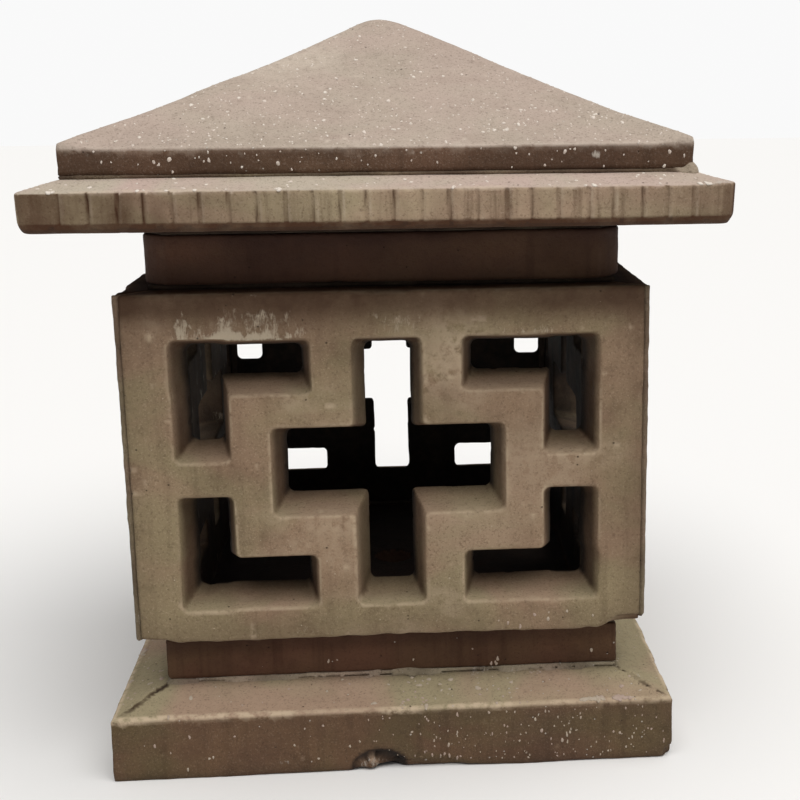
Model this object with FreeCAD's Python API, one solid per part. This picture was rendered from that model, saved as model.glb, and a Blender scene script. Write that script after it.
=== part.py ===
import FreeCAD, Part
import os
import math
from FreeCAD import Vector

# Precast garden lantern: square plinth, a hollow body of four pierced fretwork
# panels, and a lift-off roof made of a collar, a fluted eave slab and a
# pyramid cap.  Millimetres, +Z up, origin at the centre of the underside.

os.makedirs("parts", exist_ok=True)

# ---------------------------------------------------------------- dimensions
# ground slab
BASE_HALF = 263.0        # half width of the ground slab
BASE_EDGE_H = 60.0       # height of its upright edge
BASE_TOP_Z = 75.0        # height where the weathered slope meets the plinth
CABLE_R = 20.0           # cable and drain way up through slab and plinth

# plinth block, which carries the body
NECK_HALF = 216.0
BED_T = 4.0              # thickness of a mortar bed
PLINTH_Z0 = BASE_TOP_Z + BED_T
PLINTH_Z1 = 119.5

# hollow body of four identical panels, mitred at the corners
BODY_HALF = 238.0
PANEL_T = 48.0           # panel thickness
PANEL_Z0 = PLINTH_Z1 + BED_T
PANEL_H = 329.2
PANEL_Z1 = PANEL_Z0 + PANEL_H
MITRE_GAP = 3.0          # mortar joint along each mitre
FILLET_LEG = 6.0         # mortar fillet in each inside corner
DRAFT = 12.0             # each opening narrows by this much a side, front to back
FRET_R = 6.0             # corner radius of the openings at the outer face

# fretwork, measured from the panel's centre line (u) and bottom edge (v)
U_OUT = 193.5            # outer edge of the corner openings
U_IN = 142.0             # inner edge of their upright arm
U_END = 67.5             # end of their level arm
U_CROSS = 107.0          # half width of the cross
U_STEM = 32.0            # half width of the cross's upright stem
V_BOT = 32.0             # bottom edge of all the lower openings
V_LARM = 83.0            # top of the lower level arms
V_LTOP = 142.0           # top of the lower upright arms
V_UBOT = 174.0           # bottom of the upper upright arms
V_UARM = 236.0           # bottom of the upper level arms
V_TOP = 286.0            # top edge of all the upper openings
V_CR0 = 121.0            # bottom of the cross's level arm
V_CR1 = 205.0            # top of the cross's level arm

# collar under the eave
TOP_BED_Z1 = PANEL_Z1 + 4.3
COLLAR_HALF = 217.0
COLLAR_CHAMFER = 20.0    # flat on each upright corner
COLLAR_IN = 170.0        # half width of its well
COLLAR_Z1 = 502.0

# eave slab
EAVE_BED_Z1 = 505.0
EAVE_HALF = 300.0
EAVE_LIP_HALF = 296.5    # half width at the foot of the lip
EAVE_LIP_Z = 513.0
EAVE_FACE_Z0 = 520.0     # foot of the fluted face
EAVE_FACE_Z1 = 546.5     # top arris of the fluted face
EAVE_TOP_Z = 555.5       # where the sloping ledge meets the cap
EAVE_CORNER = 11.0       # flat on each upright corner
FLUTES = 24              # flutes on each side
FLUTE_PITCH = 22.9
FLUTE_W = 3.6
FLUTE_D = 2.6

# pyramid cap
CAP_HALF = 268.0
CAP_BED_T = 3.0
CAP_Z0 = EAVE_TOP_Z + CAP_BED_T
CAP_EDGE_Z = 579.5       # top of the cap's upright edge
CAP_APEX_Z = 699.5       # where the four slopes would meet
CAP_TOP_Z = 695.5        # the worn top
CAP_VOID_HALF = 190.0    # hollow underside
CAP_VOID_Z = 562.0

EPS = 0.5


# ------------------------------------------------------------------- helpers
def box(x0, x1, y0, y1, z0, z1):
    return Part.makeBox(x1 - x0, y1 - y0, z1 - z0, Vector(x0, y0, z0))


def square(half, z0, z1):
    return box(-half, half, -half, half, z0, z1)


def ring(outer, inner, z0, z1):
    return square(outer, z0, z1).cut(square(inner, z0 - 1, z1 + 1))


def prism(points, z0, z1):
    """Upright prism on a closed polygon of (x, y) points."""
    pts = [Vector(x, y, z0) for x, y in points]
    face = Part.Face(Part.makePolygon(pts + [pts[0]]))
    return face.extrude(Vector(0, 0, z1 - z0))


def polyhedron(verts, faces):
    """Closed solid from corner points and faces listed by index."""
    fs = []
    for f in faces:
        pts = [Vector(*verts[i]) for i in f]
        fs.append(Part.Face(Part.makePolygon(pts + [pts[0]])))
    solid = Part.makeSolid(Part.makeShell(fs))
    if solid.Volume < 0:
        solid.reverse()
    return solid


def octagon(half, chamfer):
    """Square outline with its four corners cut off."""
    h, c = half, half - chamfer
    return [(h, -c), (h, c), (c, h), (-c, h), (-h, c), (-h, -c), (-c, -h), (c, -h)]


def frustum(outline0, z0, outline1, z1):
    """Solid between two similar level outlines."""
    n = len(outline0)
    verts = [(x, y, z0) for x, y in outline0] + [(x, y, z1) for x, y in outline1]
    faces = [list(range(n))[::-1], list(range(n, 2 * n))]
    for i in range(n):
        j = (i + 1) % n
        faces.append([i, j, n + j, n + i])
    return polyhedron(verts, faces)


def sq(half):
    return [(half, -half), (half, half), (-half, half), (-half, -half)]


def rounded_wire(points, radius, y):
    """Closed wire in a plane of constant y, from (x, z) points, with every
    corner rounded."""
    n = len(points)
    arcs = []
    for i in range(n):
        p = Vector(points[i][0], y, points[i][1])
        a = Vector(points[i - 1][0], y, points[i - 1][1])
        b = Vector(points[(i + 1) % n][0], y, points[(i + 1) % n][1])
        da = (a - p).normalize()
        db = (b - p).normalize()
        ta = p + da * radius
        tb = p + db * radius
        mid = (da + db).normalize()
        centre = p + mid * (radius * math.sqrt(2.0))
        m = centre - mid * radius
        arcs.append((ta, m, tb))
    edges = []
    for i in range(n):
        ta, m, tb = arcs[i]
        edges.append(Part.Arc(ta, m, tb).toShape())
        nxt = arcs[(i + 1) % n][0]
        edges.append(Part.LineSegment(tb, nxt).toShape())
    return Part.Wire(edges)


def inset(points, d):
    """Move every edge of an anticlockwise right-angled outline inwards."""
    n = len(points)
    out = []
    for i in range(n):
        x0, z0 = points[i - 1]
        x, z = points[i]
        x1, z1 = points[(i + 1) % n]
        dx, dz = 0.0, 0.0
        for (ax, az, bx, bz) in ((x0, z0, x, z), (x, z, x1, z1)):
            length = math.hypot(bx - ax, bz - az)
            tx, tz = (bx - ax) / length, (bz - az) / length
            dx += -tz * d
            dz += tx * d
        out.append((x + dx, z + dz))
    return out


def opening_cutter(points):
    """Tapered cutter through the front panel: full size at the outer face,
    smaller by DRAFT a side at the inner face."""
    k = DRAFT / PANEL_T
    over = 2.0
    y0 = -BODY_HALF - over
    y1 = -BODY_HALF + PANEL_T + over
    w0 = rounded_wire(inset(points, -k * over), FRET_R, y0)
    w1 = rounded_wire(inset(points, DRAFT + k * over), FRET_R, y1)
    return Part.makeLoft([w0, w1], True, True)


def shift(points):
    return [(u, PANEL_Z0 + v) for u, v in points]


def mirror_u(points):
    return [(-u, v) for u, v in points][::-1]


def write(name, shape):
    shape = shape.removeSplitter() if len(shape.Solids) == 1 else shape
    assert shape.isValid(), name
    shape.exportStep("parts/%s.step" % name)
    bb = shape.BoundBox
    print("%-28s solids %d  volume %9.0f  x %.1f..%.1f  y %.1f..%.1f  z %.1f..%.1f" % (
        name, len(shape.Solids), shape.Volume, bb.XMin, bb.XMax, bb.YMin, bb.YMax, bb.ZMin, bb.ZMax))


# --------------------------------------------------------------- ground slab
# Square slab with an upright edge and a shallow weathered slope whose hips
# run from the plinth's corners to the slab's corners.
base = square(BASE_HALF, 0, BASE_EDGE_H).fuse(
    frustum(sq(BASE_HALF), BASE_EDGE_H, sq(NECK_HALF), BASE_TOP_Z))
cable_way = Part.makeCylinder(CABLE_R, PLINTH_Z1 + 2, Vector(0, 0, -1))
write("ground_slab", base.cut(cable_way))

# ------------------------------------------------------------- plinth block
write("plinth_bed", square(NECK_HALF - 2, BASE_TOP_Z, PLINTH_Z0).cut(cable_way))
write("plinth_block", square(NECK_HALF, PLINTH_Z0, PLINTH_Z1).cut(cable_way))

# ------------------------------------------------------------ fretwork body
write("body_bed", ring(NECK_HALF - 2, BODY_HALF - PANEL_T, PLINTH_Z1, PANEL_Z0))

g = MITRE_GAP / math.sqrt(2.0)
bi = BODY_HALF - PANEL_T
front_plan = [(-BODY_HALF + g, -BODY_HALF), (BODY_HALF - g, -BODY_HALF),
              (bi - g, -bi), (-bi + g, -bi)]
panel = prism(front_plan, PANEL_Z0, PANEL_Z1)

upper_l = [(-U_OUT, V_UBOT), (-U_IN, V_UBOT), (-U_IN, V_UARM), (-U_END, V_UARM),
           (-U_END, V_TOP), (-U_OUT, V_TOP)]
lower_l = [(-U_OUT, V_BOT), (-U_END, V_BOT), (-U_END, V_LARM), (-U_IN, V_LARM),
           (-U_IN, V_LTOP), (-U_OUT, V_LTOP)]
cross = [(-U_STEM, V_BOT), (U_STEM, V_BOT), (U_STEM, V_CR0), (U_CROSS, V_CR0),
         (U_CROSS, V_CR1), (U_STEM, V_CR1), (U_STEM, V_TOP), (-U_STEM, V_TOP),
         (-U_STEM, V_CR1), (-U_CROSS, V_CR1), (-U_CROSS, V_CR0), (-U_STEM, V_CR0)]
for outline in (upper_l, mirror_u(upper_l), lower_l, mirror_u(lower_l), cross):
    panel = panel.cut(opening_cutter(shift(outline)))

for name, turn in (("front_panel", 0), ("right_panel", 90), ("rear_panel", 180), ("left_panel", 270)):
    p = panel.copy()
    p.rotate(Vector(0, 0, 0), Vector(0, 0, 1), turn)
    write(name, p)

# mortar in each mitre, with a small fillet in the inside corner
corner_plan = [(-BODY_HALF + g, -BODY_HALF), (-bi + g, -bi), (-bi + g + FILLET_LEG, -bi),
               (-bi, -bi + g + FILLET_LEG), (-bi, -bi + g), (-BODY_HALF, -BODY_HALF + g),
               (-BODY_HALF, -BODY_HALF)]
corner = prism(corner_plan, PANEL_Z0, PANEL_Z1)
for name, turn in (("corner_joint_front_left", 0), ("corner_joint_front_right", 90),
                   ("corner_joint_rear_right", 180), ("corner_joint_rear_left", 270)):
    c = corner.copy()
    c.rotate(Vector(0, 0, 0), Vector(0, 0, 1), turn)
    write(name, c)

# levelling bed that the roof stands on; it stays on the body
write("top_bed", ring(COLLAR_HALF - 5, bi + 2, PANEL_Z1, TOP_BED_Z1))

# ------------------------------------------------------------ lift-off roof
collar = prism(octagon(COLLAR_HALF, COLLAR_CHAMFER), TOP_BED_Z1, COLLAR_Z1)
collar = collar.cut(square(COLLAR_IN, TOP_BED_Z1 - 1, COLLAR_Z1 + 1))
write("collar", collar)

eave_bed = prism(octagon(COLLAR_HALF - 2, COLLAR_CHAMFER), COLLAR_Z1, EAVE_BED_Z1)
eave_bed = eave_bed.cut(square(COLLAR_IN, COLLAR_Z1 - 1, EAVE_BED_Z1 + 1))
write("eave_bed", eave_bed)

# eave slab: soffit rising outwards, small lip, fluted face, sloping ledge
c = EAVE_CORNER
eave = frustum(octagon(COLLAR_HALF, c), EAVE_BED_Z1, octagon(EAVE_LIP_HALF, c), EAVE_LIP_Z)
eave = eave.fuse(frustum(octagon(EAVE_LIP_HALF, c), EAVE_LIP_Z, octagon(EAVE_HALF, c), EAVE_FACE_Z0))
eave = eave.fuse(prism(octagon(EAVE_HALF, c), EAVE_FACE_Z0, EAVE_FACE_Z1))
eave = eave.fuse(frustum(octagon(EAVE_HALF, c), EAVE_FACE_Z1, octagon(CAP_HALF, c), EAVE_TOP_Z))
eave = eave.removeSplitter()
eave = eave.cut(square(COLLAR_IN, EAVE_BED_Z1 - 1, EAVE_TOP_Z + 1))
tools = []
for i in range(FLUTES):
    u = (i - (FLUTES - 1) / 2.0) * FLUTE_PITCH
    v_plan = [(u - FLUTE_W / 2, -EAVE_HALF - 1), (u + FLUTE_W / 2, -EAVE_HALF - 1),
              (u + FLUTE_W / 4, -EAVE_HALF + FLUTE_D), (u - FLUTE_W / 4, -EAVE_HALF + FLUTE_D)]
    t = prism(v_plan, EAVE_FACE_Z0, EAVE_FACE_Z1 + 4)
    for turn in (0, 90, 180, 270):
        q = t.copy()
        q.rotate(Vector(0, 0, 0), Vector(0, 0, 1), turn)
        tools.append(q)
eave = eave.cut(Part.makeCompound(tools))
write("eave_slab", eave)

write("cap_bed", ring(CAP_HALF - 3, CAP_VOID_HALF, EAVE_TOP_Z, CAP_Z0))

# pyramid cap with a hollow underside
slope = (CAP_APEX_Z - CAP_EDGE_Z) / CAP_HALF
h1 = (CAP_APEX_Z - (CAP_TOP_Z - 2.4)) / slope
cap = square(CAP_HALF, CAP_Z0, CAP_EDGE_Z)
cap = cap.fuse(frustum(sq(CAP_HALF), CAP_EDGE_Z, sq(h1), CAP_TOP_Z - 2.4))
cap = cap.fuse(frustum(sq(h1), CAP_TOP_Z - 2.4, sq(6.0), CAP_TOP_Z))
cap = cap.removeSplitter()
void = square(CAP_VOID_HALF, CAP_Z0 - 1, CAP_VOID_Z).fuse(
    frustum(sq(CAP_VOID_HALF), CAP_VOID_Z, sq(10.0), CAP_VOID_Z + (CAP_VOID_HALF - 10.0) * slope))
write("roof_cap", cap.cut(void))
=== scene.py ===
import math
import time

import bpy
import numpy as np
from mathutils import Matrix, Vector


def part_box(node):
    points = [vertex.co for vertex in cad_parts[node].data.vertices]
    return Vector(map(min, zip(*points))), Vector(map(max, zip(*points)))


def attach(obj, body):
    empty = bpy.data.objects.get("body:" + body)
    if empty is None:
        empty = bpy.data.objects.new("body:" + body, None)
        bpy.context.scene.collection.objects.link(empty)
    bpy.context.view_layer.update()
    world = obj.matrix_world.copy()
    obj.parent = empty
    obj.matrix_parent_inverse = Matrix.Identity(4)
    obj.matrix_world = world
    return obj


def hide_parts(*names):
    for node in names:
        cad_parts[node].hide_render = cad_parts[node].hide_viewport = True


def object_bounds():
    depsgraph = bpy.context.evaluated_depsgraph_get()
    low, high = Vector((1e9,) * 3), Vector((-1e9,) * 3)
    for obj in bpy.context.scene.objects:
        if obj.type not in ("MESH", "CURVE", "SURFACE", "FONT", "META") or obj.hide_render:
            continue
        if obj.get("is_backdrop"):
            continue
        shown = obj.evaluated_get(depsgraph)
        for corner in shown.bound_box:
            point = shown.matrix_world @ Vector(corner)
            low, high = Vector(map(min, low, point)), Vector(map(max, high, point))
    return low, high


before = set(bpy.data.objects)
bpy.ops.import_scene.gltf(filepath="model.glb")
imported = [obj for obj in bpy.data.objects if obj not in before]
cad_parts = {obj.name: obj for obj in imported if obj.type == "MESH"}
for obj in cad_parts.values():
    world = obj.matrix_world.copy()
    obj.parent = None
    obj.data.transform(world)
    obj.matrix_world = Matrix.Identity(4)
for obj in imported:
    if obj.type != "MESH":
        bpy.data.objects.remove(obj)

T0 = time.time()
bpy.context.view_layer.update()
scene = bpy.context.scene


# ------------------------------------------------------------------ camera
# A level-verticals view from slightly above the eave, a little to the right
# of the lantern's centre plane.  The view is a crop whose optical axis lies
# right of the picture's centre, hence the small shift.
def make_camera():
    yaw, pitch, roll = 0.0773, 0.2297, -0.0074
    place = Vector((0.00913, -1.43596, 0.63098))
    focal_px, centre_x, width = 1355.17, 500.0, 800.0
    cy, sy, cp, sp = math.cos(yaw), math.sin(yaw), math.cos(pitch), math.sin(pitch)
    fwd = Vector((sy * cp, cy * cp, -sp))
    right = Vector((cy, -sy, 0.0))
    up = right.cross(fwd)
    r2 = right * math.cos(roll) + up * math.sin(roll)
    u2 = up * math.cos(roll) - right * math.sin(roll)
    data = bpy.data.cameras.new("view")
    data.sensor_width = 36.0
    data.sensor_fit = "HORIZONTAL"
    data.lens = focal_px / width * 36.0
    data.shift_x = (width / 2 - centre_x) / width
    data.shift_y = 0.0
    data.clip_start, data.clip_end = 0.05, 100.0
    cam = bpy.data.objects.new("view", data)
    m = Matrix.Identity(4)
    for i, axis in enumerate((r2, u2, -fwd)):
        for j in range(3):
            m[j][i] = axis[j]
    m.translation = place
    cam.matrix_world = m
    scene.collection.objects.link(cam)
    scene.camera = cam


make_camera()


# ------------------------------------------------------------------- noise
_tables = {}


def noise(p, wave, seed):
    """Smooth value noise from -1 to 1 at points in millimetres; wave is its
    length in millimetres, one number or three."""
    if seed not in _tables:
        rng = np.random.default_rng(9000 + seed)
        _tables[seed] = (rng.uniform(-1, 1, 1 << 18).astype(np.float32), rng.uniform(0, 64, 3))
    table, off = _tables[seed]
    q = p / np.asarray(wave, dtype=np.float64) + off
    i = np.floor(q)
    f = (q - i).astype(np.float32)
    f = f * f * (3.0 - 2.0 * f)
    i = i.astype(np.int64) & 63
    j = (i + 1) & 63
    x = (i[:, 0] << 12, j[:, 0] << 12)
    y = (i[:, 1] << 6, j[:, 1] << 6)
    z = (i[:, 2], j[:, 2])
    fx, fy, fz = f[:, 0], f[:, 1], f[:, 2]
    out = 0.0
    for a in (0, 1):
        wx = fx if a else 1 - fx
        for b in (0, 1):
            wy = fy if b else 1 - fy
            for c in (0, 1):
                wz = fz if c else 1 - fz
                out = out + wx * wy * wz * table[x[a] | y[b] | z[c]]
    return out


def rough(p, seed, amp=1.0, coarse=1.0):
    """The unevenness of a cast face, in millimetres."""
    return amp * (coarse * 0.85 * noise(p, 130.0, seed) + coarse * 0.45 * noise(p, 47.0, seed + 1)
                  + 0.26 * noise(p, 17.0, seed + 2) + 0.16 * noise(p, 7.5, seed + 3))


def smax(a, b, k):
    d = np.maximum(k - np.abs(a - b), 0.0)
    return np.maximum(a, b) + d * d / (4.0 * k)


def smin(a, b, k):
    return -smax(-a, -b, k)


def clip01(x):
    return np.clip(x, 0.0, 1.0)


def ramp(x, a, b):
    t = clip01((x - a) / (b - a))
    return t * t * (3 - 2 * t)


# ----------------------------------------------------------- solid to mesh
def surface_nets(F, lo, h):
    """A quad mesh on the zero surface of a grid that is negative inside."""
    s = F < 0
    nx, ny, nz = F.shape
    count = np.zeros((nx - 1, ny - 1, nz - 1), np.uint8)
    for a in (0, 1):
        for b in (0, 1):
            for c in (0, 1):
                count += s[a:nx - 1 + a, b:ny - 1 + b, c:nz - 1 + c]
    active = (count > 0) & (count < 8)
    cells = np.argwhere(active)
    index = np.full(active.shape, -1, np.int64)
    index[active] = np.arange(len(cells))
    acc = np.zeros((len(cells), 3))
    cnt = np.zeros(len(cells))
    for axis in range(3):
        step = np.zeros(3, np.int64)
        step[axis] = 1
        others = [k for k in range(3) if k != axis]
        for a in (0, 1):
            for b in (0, 1):
                base = np.zeros(3, np.int64)
                base[others[0]], base[others[1]] = a, b
                p = cells + base
                q = p + step
                fa = F[p[:, 0], p[:, 1], p[:, 2]]
                fb = F[q[:, 0], q[:, 1], q[:, 2]]
                m = (fa < 0) != (fb < 0)
                t = np.where(m, fa / np.where(m, fa - fb, 1.0), 0.0)
                pos = np.broadcast_to(base, (len(cells), 3)).astype(float).copy()
                pos[:, axis] += t
                acc[m] += pos[m]
                cnt[m] += 1
    verts = np.asarray(lo) + h * (cells + acc / cnt[:, None])
    quads = []
    for axis in range(3):
        j1, j2 = (axis + 1) % 3, (axis + 2) % 3
        sl0 = [slice(1, -1)] * 3
        sl1 = [slice(1, -1)] * 3
        sl0[axis], sl1[axis] = slice(None, -1), slice(1, None)
        m = s[tuple(sl0)] != s[tuple(sl1)]
        e = np.argwhere(m)
        e[:, j1] += 1
        e[:, j2] += 1
        corner = []
        for da, db in ((-1, -1), (0, -1), (0, 0), (-1, 0)):
            c = e.copy()
            c[:, j1] += da
            c[:, j2] += db
            corner.append(index[c[:, 0], c[:, 1], c[:, 2]])
        q = np.stack(corner, 1)
        inside = s[e[:, 0], e[:, 1], e[:, 2]]
        q[~inside] = q[~inside][:, ::-1]
        quads.append(q)
    return verts, np.concatenate(quads)


def grid_solid(f, lo, hi, h):
    """Meshes a plain field over a box, evaluating it in slabs."""
    lo, hi = np.asarray(lo, float) - 2.2 * h, np.asarray(hi, float) + 2.2 * h
    n = np.ceil((hi - lo) / h).astype(int) + 1
    xs = [lo[k] + h * np.arange(n[k]) for k in range(3)]
    F = np.empty(n, np.float32)
    Y, Z = np.meshgrid(xs[1], xs[2], indexing="ij")
    chunk = max(1, int(400000 / (n[1] * n[2])))
    for i in range(0, n[0], chunk):
        xx = xs[0][i:i + chunk]
        P = np.empty((len(xx), n[1], n[2], 3))
        P[..., 0] = xx[:, None, None]
        P[..., 1] = Y
        P[..., 2] = Z
        F[i:i + chunk] = f(P.reshape(-1, 3)).reshape(len(xx), n[1], n[2])
    return surface_nets(F, lo, h)


def gradient(f, p, e=0.35):
    g = np.zeros_like(p)
    for s in ((1, -1, -1), (-1, -1, 1), (-1, 1, -1), (1, 1, 1)):
        s = np.array(s, float)
        g += s * f(p + e * s)[:, None]
    return g / (4.0 * e)


def settle(f, p, steps=3, limit=2.5):
    """Moves points onto the zero surface of the detailed field."""
    for i in range(steps):
        g = gradient(f, p)
        L = np.maximum(np.linalg.norm(g, axis=1), 0.35)
        d = np.clip(-f(p) / L, -limit, limit)
        p = p + g / L[:, None] * d[:, None]
    return p


def unit_normals(f, p):
    g = gradient(f, p, 0.8)
    return g / np.maximum(np.linalg.norm(g, axis=1), 1e-6)[:, None]


def make_object(name, verts, faces, attrs, materials, faces_left=None):
    """A smooth mesh object in metres with its point attributes."""
    me = bpy.data.meshes.new(name)
    nv, (nf, side) = len(verts), faces.shape
    me.vertices.add(nv)
    me.vertices.foreach_set("co", (verts * 0.001).astype(np.float32).ravel())
    me.loops.add(nf * side)
    me.loops.foreach_set("vertex_index", faces.astype(np.int32).ravel())
    me.polygons.add(nf)
    me.polygons.foreach_set("loop_start", np.arange(0, nf * side, side, dtype=np.int32))
    me.polygons.foreach_set("use_smooth", np.ones(nf, bool))
    me.update(calc_edges=True)
    me.validate()
    for key, values in attrs.items():
        a = me.attributes.new(key, "FLOAT", "POINT")
        a.data.foreach_set("value", np.asarray(values, np.float32))
    for m in materials:
        me.materials.append(m)
    ob = bpy.data.objects.new(name, me)
    scene.collection.objects.link(ob)
    if faces_left and faces_left < 2 * nf:
        mod = ob.modifiers.new("thin", "DECIMATE")
        mod.ratio = faces_left / (2.0 * nf)
        dg = bpy.context.evaluated_depsgraph_get()
        thin = bpy.data.meshes.new_from_object(ob.evaluated_get(dg), depsgraph=dg)
        ob.modifiers.remove(mod)
        ob.data = thin
        bpy.data.meshes.remove(me)
        thin.name = name
        thin.polygons.foreach_set("use_smooth", np.ones(len(thin.polygons), bool))
    return ob


# --------------------------------------------------------------- materials
def nodes_of(mat):
    mat.use_nodes = True
    nt = mat.node_tree
    nt.nodes.clear()
    return nt


class Graph:
    """Short names for building a node material."""

    def __init__(self, name):
        self.mat = bpy.data.materials.new(name)
        self.nt = nodes_of(self.mat)
        self.coord = self.nt.nodes.new("ShaderNodeTexCoord").outputs["Object"]

    def node(self, kind, **props):
        n = self.nt.nodes.new(kind)
        for k, v in props.items():
            setattr(n, k, v)
        return n

    def put(self, socket, value):
        if isinstance(value, bpy.types.NodeSocket):
            self.nt.links.new(value, socket)
        elif value is not None:
            socket.default_value = value

    def attr(self, name):
        n = self.node("ShaderNodeAttribute", attribute_type="GEOMETRY", attribute_name=name)
        return n.outputs["Fac"]

    def math(self, op, a, b=None, c=None, clamp=False):
        n = self.node("ShaderNodeMath", operation=op, use_clamp=clamp)
        self.put(n.inputs[0], a)
        if b is not None:
            self.put(n.inputs[1], b)
        if c is not None:
            self.put(n.inputs[2], c)
        return n.outputs[0]

    def scaled(self, vec):
        n = self.node("ShaderNodeMapping")
        self.put(n.inputs["Vector"], self.coord)
        n.inputs["Scale"].default_value = vec
        return n.outputs[0]

    def noise(self, scale, detail=3.0, rough_=0.55, vec=None, distortion=0.0):
        n = self.node("ShaderNodeTexNoise")
        self.put(n.inputs["Vector"], vec if vec is not None else self.coord)
        n.inputs["Scale"].default_value = scale
        n.inputs["Detail"].default_value = detail
        n.inputs["Roughness"].default_value = rough_
        n.inputs["Distortion"].default_value = distortion
        return n.outputs["Fac"]

    def voronoi(self, scale, randomness=1.0, vec=None, feature="F1"):
        n = self.node("ShaderNodeTexVoronoi", feature=feature)
        self.put(n.inputs["Vector"], vec if vec is not None else self.coord)
        n.inputs["Scale"].default_value = scale
        n.inputs["Randomness"].default_value = randomness
        return n

    def step(self, x, a, b, smooth=True):
        n = self.node("ShaderNodeMapRange", interpolation_type="SMOOTHSTEP" if smooth else "LINEAR")
        self.put(n.inputs["Value"], x)
        self.put(n.inputs["From Min"], a)
        self.put(n.inputs["From Max"], b)
        n.inputs["To Min"].default_value = 0.0
        n.inputs["To Max"].default_value = 1.0
        return n.outputs["Result"]

    def mix(self, fac, a, b, blend="MIX"):
        n = self.node("ShaderNodeMix", data_type="RGBA", blend_type=blend)
        n.clamp_factor = True
        self.put(n.inputs[0], fac)
        self.put(n.inputs[6], (*a, 1.0) if isinstance(a, tuple) else a)
        self.put(n.inputs[7], (*b, 1.0) if isinstance(b, tuple) else b)
        return n.outputs[2]


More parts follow.
